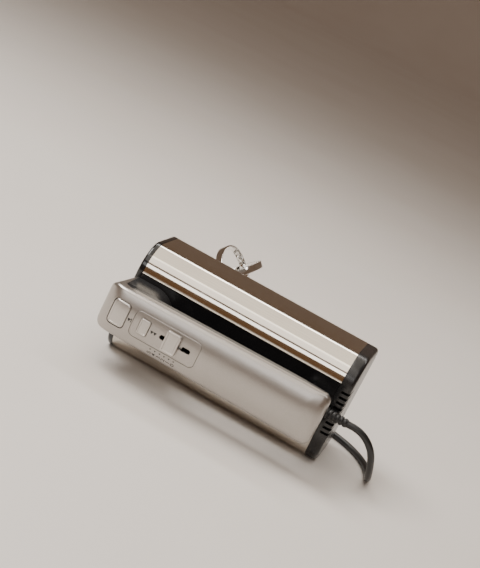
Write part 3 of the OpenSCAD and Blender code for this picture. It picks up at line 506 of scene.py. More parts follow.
def effect(name: str) -> NodeTree:
    """Builds a shared shader group once.

    Args:
        name: its name in the table of effects.

    Returns:
        The group.
    """
    group = bpy.data.node_groups.get(name)
    if group:
        return group
    group = bpy.data.node_groups.new(name, "ShaderNodeTree")
    wire, more, outputs = EFFECTS[name]
    for way, labels in (("INPUT", ("Place", "Scale", *more)), ("OUTPUT", outputs)):
        for label in labels:
            kind = "NodeSocket" + SOCKETS.get(label, "Float")
            group.interface.new_socket(label, in_out=way, socket_type=kind)
    wire(Nodes(group), group.nodes.new("NodeGroupInput"), group.nodes.new("NodeGroupOutput"))
    return group


def new_material(name: str) -> tuple[Material, Nodes, Node]:
    """Makes a material, and gives it with its nodes and its shader."""
    material = bpy.data.materials.new(name)
    material.use_nodes = True
    tree = material.node_tree
    return material, Nodes(tree), next(n for n in tree.nodes if n.type == "BSDF_PRINCIPLED")


# ---------------------------------------------------------------- finishes of the pieces


class Texture(Enum):
    """What the surface of a finish is like up close."""

    GRAIN = "grain"
    LINES = "lines"
    SHEETS = "sheets"
    WIRE = "wire"
    TRACKS = "tracks"
    FLAKE = "flake"


# For each wavy texture: the wave's inputs, the way its bands run, how strongly the gaps between
# the bands take a darker colour, and that colour: dark joints between the iron's sheets, and
# painted shade in the grooves between the turns of wire.
WAVES: dict[Texture, tuple[dict[str, float], str, float, Point]] = {
    Texture.SHEETS: ({"Distortion": 0.6, "Detail": 1.0}, "X", 0.35, (0.05, 0.04, 0.035, 1)),
    # The wire's gap colour is painted shade in the grooves between its turns.
    Texture.WIRE: ({"Distortion": 1.4, "Detail": 1.5, "Detail Scale": 0.6}, "DIAGONAL", 0.6,
                   (0.20, 0.07, 0.02, 1)),
}
TRACK_GREEN, FLAKE_WHITE = (0.11, 0.34, 0.14, 1), (1, 0.985, 0.96, 1)
LINE_SHADE, FLAKE_FINER = 0.72, 1.6
TINT_SCALE, MARKS_SCALE, BUMP_DEPTH, COAT_ROUGH = 28.0, 34.0, 0.0004, 0.06


@dataclass(frozen=True)
class Finish:
    """A finish of the mixer's pieces.

    Attributes:
        name: the material's name.
        colour: its base colour.
        texture: its surface up close.
        rough: its lowest and highest roughness.
        metallic: 1 for bare metal.
        coat: the weight of a clear gloss over it.
        scale: how fine its texture is, per metre.
        relief: how deep its texture stands.
        stretch: how its texture is stretched along each axis.
        drift: how much darker its tone drifts, from 0 to 1.
    """

    name: str
    colour: Colour
    texture: Texture = Texture.GRAIN
    rough: tuple[float, float] = (0.35, 0.5)
    metallic: float = 0.0
    coat: float = 0.0
    scale: float = 1800.0
    relief: float = 0.05
    stretch: tuple[float, float, float] = (1.0, 1.0, 1.0)
    drift: float = 0.12

    def material(self) -> Material:
        """Builds the material, or gives the one made earlier.

        Returns:
            The material of this finish.
        """
        label = self.name + "_finish"
        found = bpy.data.materials.get(label)
        if found:
            return found
        material, nodes, shader = new_material(label)
        place = nodes.object_space()
        fine = nodes.object_space(self.stretch)
        light = (*self.colour, 1.0)
        dark = (*(c * (1 - self.drift) for c in self.colour), 1.0)
        tone = nodes.effect("tint drift", place, TINT_SCALE, Light=light, Dark=dark).outputs[0]
        height, mask, tone = self.detail(nodes, fine, tone)
        marks = nodes.effect("handling marks", place, MARKS_SCALE).outputs[0]
        low, high = self.rough
        base = nodes.between(mask, low, (low + high) / 2)
        rough = nodes.maths("ADD", base, nodes.between(marks, 0.0, (high - low) / 2))
        bump = nodes.add("Bump", {"Height": height, "Strength": self.relief, "Distance": BUMP_DEPTH})
        nodes.fill(shader, {"Base Color": tone, "Roughness": rough, "Normal": bump.outputs[0],
                            "Metallic": self.metallic, "Coat Weight": self.coat,
                            "Coat Roughness": COAT_ROUGH})
        return material

    def detail(self, nodes: Nodes, place: NodeSocket, tone: NodeSocket) -> tuple:
        """Adds the surface up close.

        Args:
            nodes: the material's nodes.
            place: the stretched coordinates.
            tone: the colour so far.

        Returns:
            The height, a mask for the roughness and the colour.
        """
        where = {"Vector": place, "Scale": self.scale}
        if self.texture in WAVES:
            more, bands, fade, gap = WAVES[self.texture]
            wave = nodes.add("TexWave", where | more, bands_direction=bands).outputs[1]
            # Darkens the gaps between the bands: dark joints for the sheets, painted shade between the turns
            # of wire.
            return wave, wave, nodes.mix(nodes.between(wave, fade, 0.0), tone, gap)
        if self.texture is Texture.TRACKS:
            more = {"Mortar Size": 0.05, "Color1": (1, 1, 1, 1), "Color2": (0.8, 0.8, 0.8, 1),
                    "Mortar": (0, 0, 0, 1)}
            brick = nodes.add("TexBrick", where | more).outputs["Fac"]
            return brick, brick, nodes.mix(brick, tone, TRACK_GREEN)
        name = "drawn lines" if self.texture is Texture.LINES else "moulded grain"
        group = nodes.effect(name, place, self.scale)
        if self.texture is Texture.LINES:
            shade = (*(LINE_SHADE * c for c in self.colour), 1)
            tone = nodes.mix(nodes.between(group.outputs["Mask"], 0.0, 0.35), tone, shade)
        if self.texture is Texture.FLAKE:
            sparkle = nodes.add("TexVoronoi", {"Vector": place, "Scale": self.scale * FLAKE_FINER})
            tone = nodes.mix(nodes.between(sparkle.outputs["Color"], 0.0, 0.14), tone, FLAKE_WHITE)
        return group.outputs["Height"], group.outputs["Mask"], tone


ALONG_X = (0.03, 1.0, 1.0)
FINISHES: dict[str, Finish] = {
    f.name: f
    for f in (
        Finish("mirror_steel", (0.80, 0.75, 0.675), Texture.LINES, (0.06, 0.15), metallic=1.0, scale=900.0,
               relief=0.012, stretch=ALONG_X, drift=0.04),
        Finish("gloss_black", (0.010, 0.010, 0.011), rough=(0.10, 0.22), coat=0.15, scale=700.0,
               relief=0.012, drift=0.2),
        Finish("satin_black", (0.013, 0.013, 0.014), rough=(0.22, 0.36), coat=0.05, scale=1500.0,
               drift=0.2),
        Finish("grip_black", (0.020, 0.020, 0.021), rough=(0.24, 0.40), coat=0.08, scale=1600.0,
               relief=0.04, drift=0.2),
        Finish("satin_silver", (0.40, 0.375, 0.35), Texture.FLAKE, (0.27, 0.38), metallic=0.9, coat=0.10,
               scale=2600.0, relief=0.03, drift=0.05),
        Finish("button_silver", (0.52, 0.495, 0.465), Texture.FLAKE, (0.26, 0.36), metallic=0.85,
               coat=0.15, scale=2600.0, relief=0.02, drift=0.04),
        Finish("circuit_board", (0.03, 0.16, 0.06), Texture.TRACKS, (0.30, 0.45), coat=0.3, scale=160.0,
               relief=0.10),
        Finish("yellow_film", (0.75, 0.52, 0.08), rough=(0.22, 0.35), coat=0.4, scale=500.0),
        Finish("white_nylon", (0.82, 0.80, 0.72), rough=(0.38, 0.52), scale=900.0, relief=0.06,
               drift=0.06),
        Finish("spring_steel", (0.55, 0.56, 0.58), Texture.LINES, (0.20, 0.36), metallic=1.0, scale=1400.0,
               stretch=(1.0, 1.0, 0.1)),
        Finish("screw_steel", (0.62, 0.62, 0.60), Texture.LINES, (0.24, 0.42), metallic=1.0, scale=1200.0,
               stretch=(1.0, 0.2, 1.0)),
        Finish("lamination_iron", (0.32, 0.32, 0.33), Texture.SHEETS, (0.40, 0.60), metallic=0.9,
               scale=320.0, relief=0.25),
        Finish("copper_wire", (0.74, 0.33, 0.13), Texture.WIRE, (0.25, 0.42), metallic=0.9, coat=0.2,
               scale=420.0, relief=0.35),
        Finish("bronze", (0.62, 0.44, 0.20), rough=(0.35, 0.55), metallic=0.9, scale=2200.0, relief=0.06),
        Finish("carbon", (0.045, 0.045, 0.047), rough=(0.45, 0.65), metallic=0.2, scale=2500.0,
               relief=0.10),
        Finish("chrome", (0.84, 0.83, 0.81), Texture.LINES, (0.05, 0.16), metallic=1.0, scale=700.0,
               relief=0.012, stretch=(1.0, 0.06, 1.0), drift=0.05),
        Finish("cord_black", (0.012, 0.012, 0.013), rough=(0.34, 0.50), coat=0.03, scale=1300.0,
               relief=0.08, drift=0.25),
        Finish("pin_brass", (0.78, 0.74, 0.62), Texture.LINES, (0.14, 0.28), metallic=1.0, scale=1000.0,
               relief=0.03, stretch=(0.1, 1.0, 1.0)),
        Finish("dial_ink", (0.010, 0.010, 0.010), rough=(0.40, 0.55), scale=2600.0, relief=0.02),
    )
}


# ---------------------------------------------------------------- pieces


def make_piece(bm: BMesh, name: str, slot: str, body: str, stands_for: Sequence[str] = (),
               place: Matrix = LAID, crease: float = 32.0) -> Object:
    """Turns a mesh into a finished piece that rides on a body.

    Args:
        bm: the mesh, in millimetres. It is freed.
        name: the piece's name.
        slot: the finish, which is also the record's material slot.
        body: the body that it rides on.
        stands_for: the CAD nodes that it stands for.
        place: where it is put.
        crease: the angle in degrees over which an edge stays sharp.

    Returns:
        The new object.
    """
    piece = plain_object(bm, name, place, crease)
    piece.data.materials.append(FINISHES[slot].material())
    ride_as(piece, slot, body, stands_for)
    return piece


def ride_as(piece: Object, slot: str, body: str, stands_for: Sequence[str] = ()) -> None:
    """Lets a piece ride on a body and stand for nodes, and logs it."""
    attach(piece, body)
    if stands_for:
        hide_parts(*stands_for)
    LOG.info("%s rides on %s in %s", piece.name, body, slot)


def plain_object(bm: BMesh, name: str, place: Matrix, crease: float) -> Object:
    """Merges, turns outwards and places a mesh.

    Args:
        bm: the mesh, in millimetres. It is freed.
        name: the object's name.
        place: the matrix that puts it in place.
        crease: the angle in degrees over which an edge stays sharp.

    Returns:
        The new object, without a finish.
    """
    merge(bm)
    face_out(bm)
    bmesh.ops.transform(bm, matrix=place, verts=bm.verts[:])
    for face in bm.faces:
        face.smooth = True
    mesh = bpy.data.meshes.new(name)
    bm.to_mesh(mesh)
    bm.free()
    mesh.set_sharp_from_angle(angle=math.radians(crease))
    return into_scene(bpy.data.objects.new(name, mesh))


def carve(piece: Object, cutter: BMesh, place: Matrix = LAID, crease: float = 32.0) -> None:
    """Cuts a mesh out of a piece.

    Args:
        piece: the piece that is cut.
        cutter: the closed mesh to take away, in millimetres. It is freed.
        place: where the cutter is put.
        crease: the angle in degrees over which a new edge stays sharp.
    """
    tool = plain_object(cutter, "cutter", place, crease)
    cut = piece.modifiers.new("cut", "BOOLEAN")
    cut.operation, cut.solver, cut.object = "DIFFERENCE", "EXACT", tool
    old, piece.data = piece.data, bpy.data.meshes.new_from_object(as_seen(piece))
    piece.modifiers.remove(cut)
    bpy.data.objects.remove(tool)
    piece.data.set_sharp_from_angle(angle=math.radians(crease))
    name = old.name
    bpy.data.meshes.remove(old)
    piece.data.name = name


def prism(outline: Sketch, up: float) -> BMesh:
    """A closed outline drawn up by a height."""
    pull(outline.bm, [outline.close()], (0, 0, up))
    return outline.bm


# ---------------------------------------------------------------- sizes that pieces share


@dataclass(frozen=True)
class BodySizes:
    """Sizes of the body, in millimetres."""

    width: float = 92.0
    height: float = 74.0
    shoulder_r: float = 24.0
    keel_r: float = 14.0
    rear_x: float = 10.0
    front_x: float = 184.0
    nose_x: float = 189.0
    sheet: float = 0.8
    deck_half: float = 23.5
    keel_half: float = 28.0

    def outline(self, x: float, inset: float = 0.0) -> Sketch:
        """The body's cross-section at x, moved inwards by an inset."""
        top_y, low_y = self.width / 2 - self.shoulder_r, self.width / 2 - self.keel_r
        side, deck, keel = self.width / 2 - inset, self.height - self.shoulder_r, self.keel_r
        sketch = Sketch((x, top_y, self.height - inset)).arc((x, top_y, deck), -90, AXIS_X, 16)
        sketch.line((x, side, keel)).arc((x, low_y, keel), -90, AXIS_X, 10)
        sketch.line((x, -low_y, inset)).arc((x, -low_y, keel), -90, AXIS_X, 10)
        return sketch.line((x, -side, deck)).arc((x, -top_y, deck), -90, AXIS_X, 16)


@dataclass(frozen=True)
class HandleSizes:
    """Sizes of the handle, in millimetres."""

    heel_x: float = 8.0
    nose_x: float = 194.0
    heel_half: float = 20.7
    nose_half: float = 18.5
    heel_corner: float = 6.0
    nose_corner: float = 8.0
    crown_z: float = 121.0
    crown_r: float = 45.0
    facet_x: float = 23.0
    facet_fall: float = 0.16
    facet_bow: float = 0.012
    crown_half: float = 30.0
    blend: float = 12.0
    heel_drop: float = 7.0
    nose_drop: float = 18.0
    edge_z: float = 108.0
    grip_z: float = 98.0
    strip_x: float = 185.0
    strip_r: float = 7.0
    lean: float = 4.0
    deck_z: float = 74.05
    wall: float = 2.2

    def half_width(self, x: float) -> float:
        """Half the handle's width at x."""
        share = (x - self.heel_x) / (self.nose_x - self.heel_x)
        return self.heel_half + (self.nose_half - self.heel_half) * share

    def crown(self, x: float, y: float) -> float:
        """Height of the crown, with a flat facet and a drop at the heel, and a drop at the nose."""
        across = self.crown_z - self.crown_r + math.sqrt(self.crown_r**2 - min(abs(y), self.crown_half) ** 2)
        across -= self.facet_fall * max(self.facet_x - self.facet_bow * y * y - x, 0.0)
        fall = 0.0
        for drop, past in ((self.heel_drop, self.heel_x + self.heel_drop - x),
                           (self.nose_drop, x - self.nose_x + self.nose_drop)):
            fall += drop - math.sqrt(max(drop**2 - max(past, 0.0) ** 2, 0.0))
        return min(across, across - fall + (self.crown_z - across) * min(fall / self.blend, 1.0))

    def plan(self, inset: float = 0.0) -> Sketch:
        """The cover's plan, from the nose round the heel."""
        heel_y, nose_y = self.heel_half - self.heel_corner, self.nose_half - self.nose_corner
        nose, heel = self.nose_x - self.nose_corner, self.heel_x + self.heel_corner
        sketch = Sketch((self.nose_x - inset, -nose_y, 0)).line((self.nose_x - inset, nose_y, 0))
        sketch.arc((nose, nose_y, 0), 90).line((heel, self.heel_half - inset, 0))
        sketch.arc((heel, heel_y, 0), 90).line((self.heel_x + inset, -heel_y, 0))
        sketch.arc((heel, -heel_y, 0), 90).line((nose, inset - self.nose_half, 0))
        return sketch.arc((nose, -nose_y, 0), 90)

    def lower_edge(self, x: float, _y: float) -> float:
        """Height of the cover's lower edge, which runs down the nose to the deck."""
        start = self.strip_x - self.strip_r
        if x <= start:
            return self.edge_z
        if x >= self.strip_x - 0.02:
            return self.deck_z
        return self.edge_z - self.strip_r + math.sqrt(self.strip_r**2 - (x - start) ** 2)


BODY, HANDLE = BodySizes(), HandleSizes()


# ---------------------------------------------------------------- body


@dataclass
class Body:
    """The steel sides and the black caps at both ends."""

    sizes: BodySizes = BODY
    rim_r: float = 0.6
    rim_sunk: float = 0.35
    nose_round: float = 2.0
    rear_round: float = 3.2
    vent_count: int = 9
    vent_pitch: float = 4.4
    vent_w: float = 2.0
    vent_z: float = 54.0
    vent_x: float = 7.0
    vent_r: float = 0.7
    socket_r: float = 6.6
    ring_r: float = 8.6
    spindle_x: float = 148.0
    spindle_y: float = 19.0

    def build(self) -> None:
        """Builds both panels, both caps and the socket rings."""
        self.side_panel("steel_side_left", "side_panel_left", 1)
        self.side_panel("steel_side_right", "side_panel_right", -1)
        self.nose_plate()
        self.rear_tub()
        self.socket_rings()

    def side_panel(self, name: str, node: str, side: int) -> None:
        """Builds the sheet that wraps one side, with a rolled rim along the deck.

        Args:
            name: the piece's name.
            node: the CAD node that it stands for.
            side: 1 for the left, -1 for the right.
        """
        s = self.sizes
        top_y, low_y, deck = s.width / 2 - s.shoulder_r, s.width / 2 - s.keel_r, s.height - s.shoulder_r
        lead_in = math.degrees(math.asin((s.deck_half - top_y) / s.shoulder_r))
        rim_z = deck + s.shoulder_r * math.cos(math.radians(lead_in))
        sketch = Sketch((s.rear_x, s.deck_half, rim_z)).arc((s.rear_x, top_y, deck), lead_in - 90, AXIS_X, 26)
        sketch.line((s.rear_x, s.width / 2, s.keel_r)).arc((s.rear_x, low_y, s.keel_r), -90, AXIS_X, 14)
        sketch.line((s.rear_x, s.keel_half, 0))
        bm = sketch.bm
        length = s.front_x - s.rear_x
        bmesh.ops.translate(bm, verts=pull_edges(bm, bm.edges[:])[0], vec=(length, 0, 0))
        face_out(bm)
        give_wall(bm, s.sheet if sum(f.normal.y for f in bm.faces) > 0 else -s.sheet)
        turn = Matrix.Rotation(math.pi / 2, 4, "Y")
        middle = (s.rear_x + length / 2, s.deck_half, rim_z - self.rim_r * self.rim_sunk)
        bmesh.ops.create_cone(bm, cap_ends=True, segments=14, radius1=self.rim_r, radius2=self.rim_r,
                              depth=length - 2 * SEAM, matrix=Matrix.Translation(middle) @ turn)
        bmesh.ops.scale(bm, vec=(1, side, 1), verts=bm.verts[:])
        make_piece(bm, name, "mirror_steel", "housing", [node])

    def end_cap(self, seam: float, end: float, end_round: tuple[float, int],
                seam_round: tuple[float, int]) -> BMesh:
        """Draws the body's cross-section out to one end.

        Args:
            seam: x where it meets the panels.
            end: x of its free end.
            end_round: the radius and the faces of the rounding at its free end.
            seam_round: the same at the seam.

        Returns:
            The closed mesh.
        """
        outline = self.sizes.outline(seam)
        bm = outline.bm
        pull(bm, [outline.close()], (end - seam, 0, 0))
        for x, rounding in ((end, end_round), (seam, seam_round)):
            soften(bm, edges_at(bm, lambda co: abs(co.x - x) < NEAR), *rounding)
        return bm

    def nose_plate(self) -> None:
        """Builds the glossy plate in front of the panels."""
        bm = self.end_cap(self.sizes.front_x + SEAM, self.sizes.nose_x, (self.nose_round, 6), (0.3, 2))
        make_piece(bm, "nose_plate", "gloss_black", "housing", ["nose_cap"])

    def rear_tub(self) -> None:
        """Builds the rear cap with its row of vents."""
        s = self.sizes
        bm = self.end_cap(s.rear_x - SEAM, 0, (self.rear_round, 7), (0.35, 2))
        tub = make_piece(bm, "rear_tub", "satin_black", "housing", ["rear_cap"])
        slots = bmesh.new()
        for i in range(self.vent_count):
            y = (i - (self.vent_count - 1) / 2) * self.vent_pitch
            block(slots, (-2, y - self.vent_w / 2, self.vent_z),
                  (self.vent_x, y + self.vent_w / 2, s.height + 2), self.vent_r, 3)
        carve(tub, slots)

    def socket_rings(self) -> None:
        """Builds the bright rings round both sockets."""
        inner, outer = self.socket_r, self.ring_r
        profile = [(inner, 2.2), (inner, -0.4), (inner + 0.4, -0.8), (outer - 0.5, -0.8), (outer, -0.3),
                   (outer, 2.2), (inner, 2.2)]
        rings = [lathe(profile, (self.spindle_x, side * self.spindle_y, 0)) for side in (1, -1)]
        make_piece(gather(*rings), "bright_rings", "chrome", "housing", ["socket_rings"])


# ---------------------------------------------------------------- handle


@dataclass
class Handle:
    """The silver cover, the black grip under it with its bridge and post, and the marks."""

    sizes: HandleSizes = HANDLE
    edge_r: float = 2.0
    lining_r: float = 0.7
    grip_inset: float = 1.2
    grip_round: float = 4.2
    floor_z: float = 100.2
    well_size: tuple[float, float] = (34.0, 24.0)
    bridge_x: float = 168.0
    bridge_half: float = 19.0
    post_x: tuple[float, float] = (13.0, 31.0)
    post_half: float = 8.5
    plate_x: tuple[float, float] = (108.8, 164.2)
    plate_width: float = 20.8
    eject_x: float = 176.5
    eject_size: tuple[float, float] = (14.0, 20.0)
    mark_x: tuple[float, float] = (143.5, 123.6)
    mark_y: float = 15.6

    def build(self) -> None:
        """Builds the cover, the grip and the printed marks."""
        self.cover()
        self.grip()
        self.marks()

    def cover(self) -> None:
        """Builds the crowned cover with the openings for its controls."""
        s = self.sizes
        heel_cuts = round_cuts(s.heel_x + s.heel_drop, -s.heel_drop, range(10, 90, 10))
        facet_cuts = [17.5, 18.8, 20, 21, 22, 23]
        strip_cuts = [s.strip_x - 0.1, *round_cuts(s.strip_x - s.strip_r, s.strip_r, range(0, 80, 12))]
        nose_cuts = round_cuts(s.nose_x - s.nose_drop, s.nose_drop, range(6, 90, 6))
        xs = heel_cuts + facet_cuts + steps_between(28, 172, 19) + strip_cuts + nose_cuts
        ys = steps_between(-19, 19, 21)
        bm = Cap(s.plan(), s.crown, self.edge_r, s.lower_edge, xs, ys).build()
        under = lambda x, y: s.crown(x, y) - s.wall
        gather(bm, Cap(s.plan(s.wall), under, self.lining_r, s.lower_edge, xs[1:], ys).build())
        bmesh.ops.bridge_loops(bm, edges=open_edges(bm))
        for v in bm.verts:
            if v.co.z < s.edge_z - s.strip_r - 1:
                reach = min(max((v.co.x - s.strip_x) / (s.nose_x - s.strip_x), 0), 1)
                v.co.x -= s.lean * reach
        shell = make_piece(bm, "silver_cover", "satin_silver", "housing", ["handle_cover"], crease=40)
        mid, length = middle_and_length(self.plate_x)
        for x, size, gap, radius, low in ((mid, (length, self.plate_width), 0.5, 4.2, 110),
                                          (self.eject_x, self.eject_size, 0.9, 3.4, 105)):
            opening = rounded_rect((x, 0, low), (size[0] + gap, size[1] + gap), radius)
            carve(shell, prism(opening, 130 - low), crease=40)

    @staticmethod
    def flared(outline: Sketch, stations: Sequence[Sequence[float]],
               grow: Callable[[Vector, Sequence[float]], Sequence[float]]) -> BMesh:
        """Draws an outline upwards through stations.

        Args:
            outline: the open sketch of the plan.
            stations: for each ring its height, then its growth.
            grow: how far a point of the plan moves along x and y at a station.

        Returns:
            The open tube.
        """
        face = outline.close()
        bm = outline.bm
        fresh, ring = bm.verts[:], list(face.edges)
        base = [v.co.copy() for v in fresh]
        bmesh.ops.delete(bm, geom=[face], context="FACES_ONLY")
        for index, station in enumerate(stations):
            if index:
                fresh, ring = pull_edges(bm, ring)
            for vert, point in zip(fresh, base):
                along, across = grow(point, station)
                vert.co = (point.x + along, point.y + across, station[0])
        return bm


    def grip(self) -> None:
        """Builds the grip's tray, the front bridge and the rear post in one moulding."""
        s, inset_by = self.sizes, self.grip_inset
        front, top_z = s.strip_x - 0.1, s.edge_z - 0.1
        heel, heel_y = s.heel_x + s.heel_corner, s.heel_half - s.heel_corner
        nose_y = s.half_width(front) - inset_by
        outline = Sketch((front, -nose_y, top_z)).line((front, nose_y, top_z))
        outline.line((heel, s.heel_half - inset_by, top_z)).arc((heel, heel_y, top_z), 90)
        outline.line((heel - s.heel_corner + inset_by, -heel_y, top_z)).arc((heel, -heel_y, top_z), 90)
        top = outline.close()
        bm = outline.bm
        pull(bm, [top], (0, 0, s.grip_z - top_z))
        below = edges_at(bm, lambda co: co.z < s.grip_z + NEAR and co.x < front - NEAR)
        soften(bm, below, self.grip_round, 7)
        lid = max(bm.faces, key=lambda f: (f.calc_center_median().z, f.calc_area()))
        inset(bm, lid, s.wall)
        bmesh.ops.translate(bm, verts=lid.verts, vec=(0, 0, self.floor_z - top_z))
        bridge = self._bridge(front)
        post = self._post()
        tray = make_piece(bm, "grip_tray", "grip_black", "housing", ["handle_grip"], crease=38)
        well_x = self.eject_x - 10
        carve(tray, prism(rounded_rect((well_x, 0, s.grip_z - 1), self.well_size, 8), 6), crease=38)
        notch = bmesh.new()
        half = self.well_size[1] / 2
        block(notch, (well_x, -half, s.edge_z - 4), (front - 0.6, half, s.edge_z + 2))
        carve(tray, notch, crease=38)
        make_piece(bridge, "front_bridge", "grip_black", "housing", crease=50)
        make_piece(post, "rear_post", "grip_black", "housing", crease=50)

    def _bridge(self, front: float) -> BMesh:
        """The column between the deck and the grip's nose."""
        x, r, deck = self.bridge_x, self.bridge_half - 0.4, self.sizes.deck_z
        outline = Sketch((front, r, 0)).line((x, r, 0)).arc((x, 0, 0), 180, steps=24).line((front, -r, 0))
        stations = [(deck, 1.0, 0.4), (deck + 0.5, 1.4, 0.55), (deck + 1.3, 1.2, 0.4), (deck + 2.6, 0.4, 0.1),
                    (deck + 5, 0, 0), (84, 0, 0), (88, 0.8, 0), (91.5, 2.6, -0.2), (94.5, 5.6, -0.4),
                    (96.6, 9.4, -0.6), (98.0, 14.0, -0.8), (99.5, 17.0, -1.0)]

        def grow(point: Vector, station: Sequence[float]) -> tuple[float, float]:
            """Away from the round's middle, and along x only behind it."""
            dx, dy = point.x - x, point.y
            reach = math.hypot(dx, dy) or 1.0
            return (station[1] * dx / reach if dx < 0 else 0.0), station[2] * dy / reach

        return give_wall(self.flared(outline, stations, grow), self.sizes.wall)

    def _post(self) -> BMesh:
        """The post between the deck and the grip's heel."""
        deck = self.sizes.deck_z
        mid, length = middle_and_length(self.post_x)
        outline = rounded_rect((mid, 0, 0), (length, 2 * self.post_half), 5)
        stations = [(deck, 1.2), (deck + 0.8, 1.3), (deck + 2, 0.5), (deck + 4, 0), (86, 0), (91, 0.5),
                    (94.5, 1.8), (97, 4.2), (98.6, 6.5)]

        def grow(point: Vector, station: Sequence[float]) -> tuple[float, float]:
            """Away from the middle, and less towards the heel near the grip."""
            height, most = station
            if point.x <= mid and height >= 90:
                most = min(most, 1.5)
            away = Vector((point.x - mid, point.y, 0)).normalized() * most
            return away.x, away.y

        return give_wall(self.flared(outline, stations, grow), self.sizes.wall)

    def marks(self) -> None:
        """Prints the dial's numbers with a pointer each, and the eject button's icon."""
        bm = bmesh.new()
        for number, x in zip("543210", steps_between(*self.mark_x, 6)):
            gather(bm, self.numeral(number, 4.5, (x, self.mark_y)),
                   self.pointer((x, self.mark_y - 3.1), 0.95))
        gather(bm, self.pointer((167.3, 0.0), 1.75), self.bar((165.4, 0.0), (0.7, 3.4)))
        self.print_on(bm, "dial_marks")

    @staticmethod
    def numeral(text: str, size: float, at: tuple[float, float]) -> BMesh:
        """A number made from the built-in font, its top towards the nose.

        Args:
            text: the number.
            size: its height in millimetres.
            at: its middle in x and y.

        Returns:
            The flat mesh.
        """
        curve = bpy.data.curves.new("numeral", "FONT")
        curve.body, curve.size, curve.offset = text, size, 0.05
        curve.align_x = curve.align_y = "CENTER"
        holder = into_scene(bpy.data.objects.new("numeral", curve))
        mesh = bpy.data.meshes.new_from_object(as_seen(holder))
        bm = bmesh.new()
        bm.from_mesh(mesh)
        bpy.data.objects.remove(holder)
        bpy.data.meshes.remove(mesh)
        turn = Matrix.Translation((*at, 0)) @ Matrix.Rotation(-math.pi / 2, 4, "Z")
        bmesh.ops.transform(bm, matrix=turn, verts=bm.verts[:])
        return bm

    @staticmethod
    def pointer(at: tuple[float, float], size: float) -> BMesh:
        """A small triangle that points at the nose or at the plate."""
        bm = bmesh.new()
        place = Matrix.Translation((at[0], at[1], 0))
        bmesh.ops.create_circle(bm, cap_ends=True, segments=3, radius=size, matrix=place)
        return bm

    @staticmethod
    def bar(at: tuple[float, float], size: tuple[float, float]) -> BMesh:
        """A small flat bar."""
        bm = bmesh.new()
        place = Matrix.Translation((at[0], at[1], 0)) @ Matrix.Diagonal((size[0], size[1], 1, 1))
        bmesh.ops.create_grid(bm, x_segments=1, y_segments=2, size=0.5, matrix=place)
        return bm

    def print_on(self, bm: BMesh, name: str, over: float = 0.01) -> None:
        """Lays flat marks on the crown as a thin layer of ink.

        Args:
            bm: the flat marks. The mesh is freed.
            name: the piece's name.
            over: how far over the crown they lie.
        """
        slice_up(bm, (), steps_between(-18, 18, 25))
        bmesh.ops.remove_doubles(bm, verts=bm.verts[:], dist=INK_SAME)
        bmesh.ops.dissolve_degenerate(bm, dist=INK_SAME, edges=bm.edges[:])
        bmesh.ops.delete(bm, geom=[v for v in bm.verts if not v.link_faces], context="VERTS")
        for v in bm.verts:
            v.co.z = self.sizes.crown(v.co.x, v.co.y) + over
        pull(bm, bm.faces[:], (0, 0, INK_THICK))
        make_piece(bm, name, "dial_ink", "housing")


# ---------------------------------------------------------------- controls


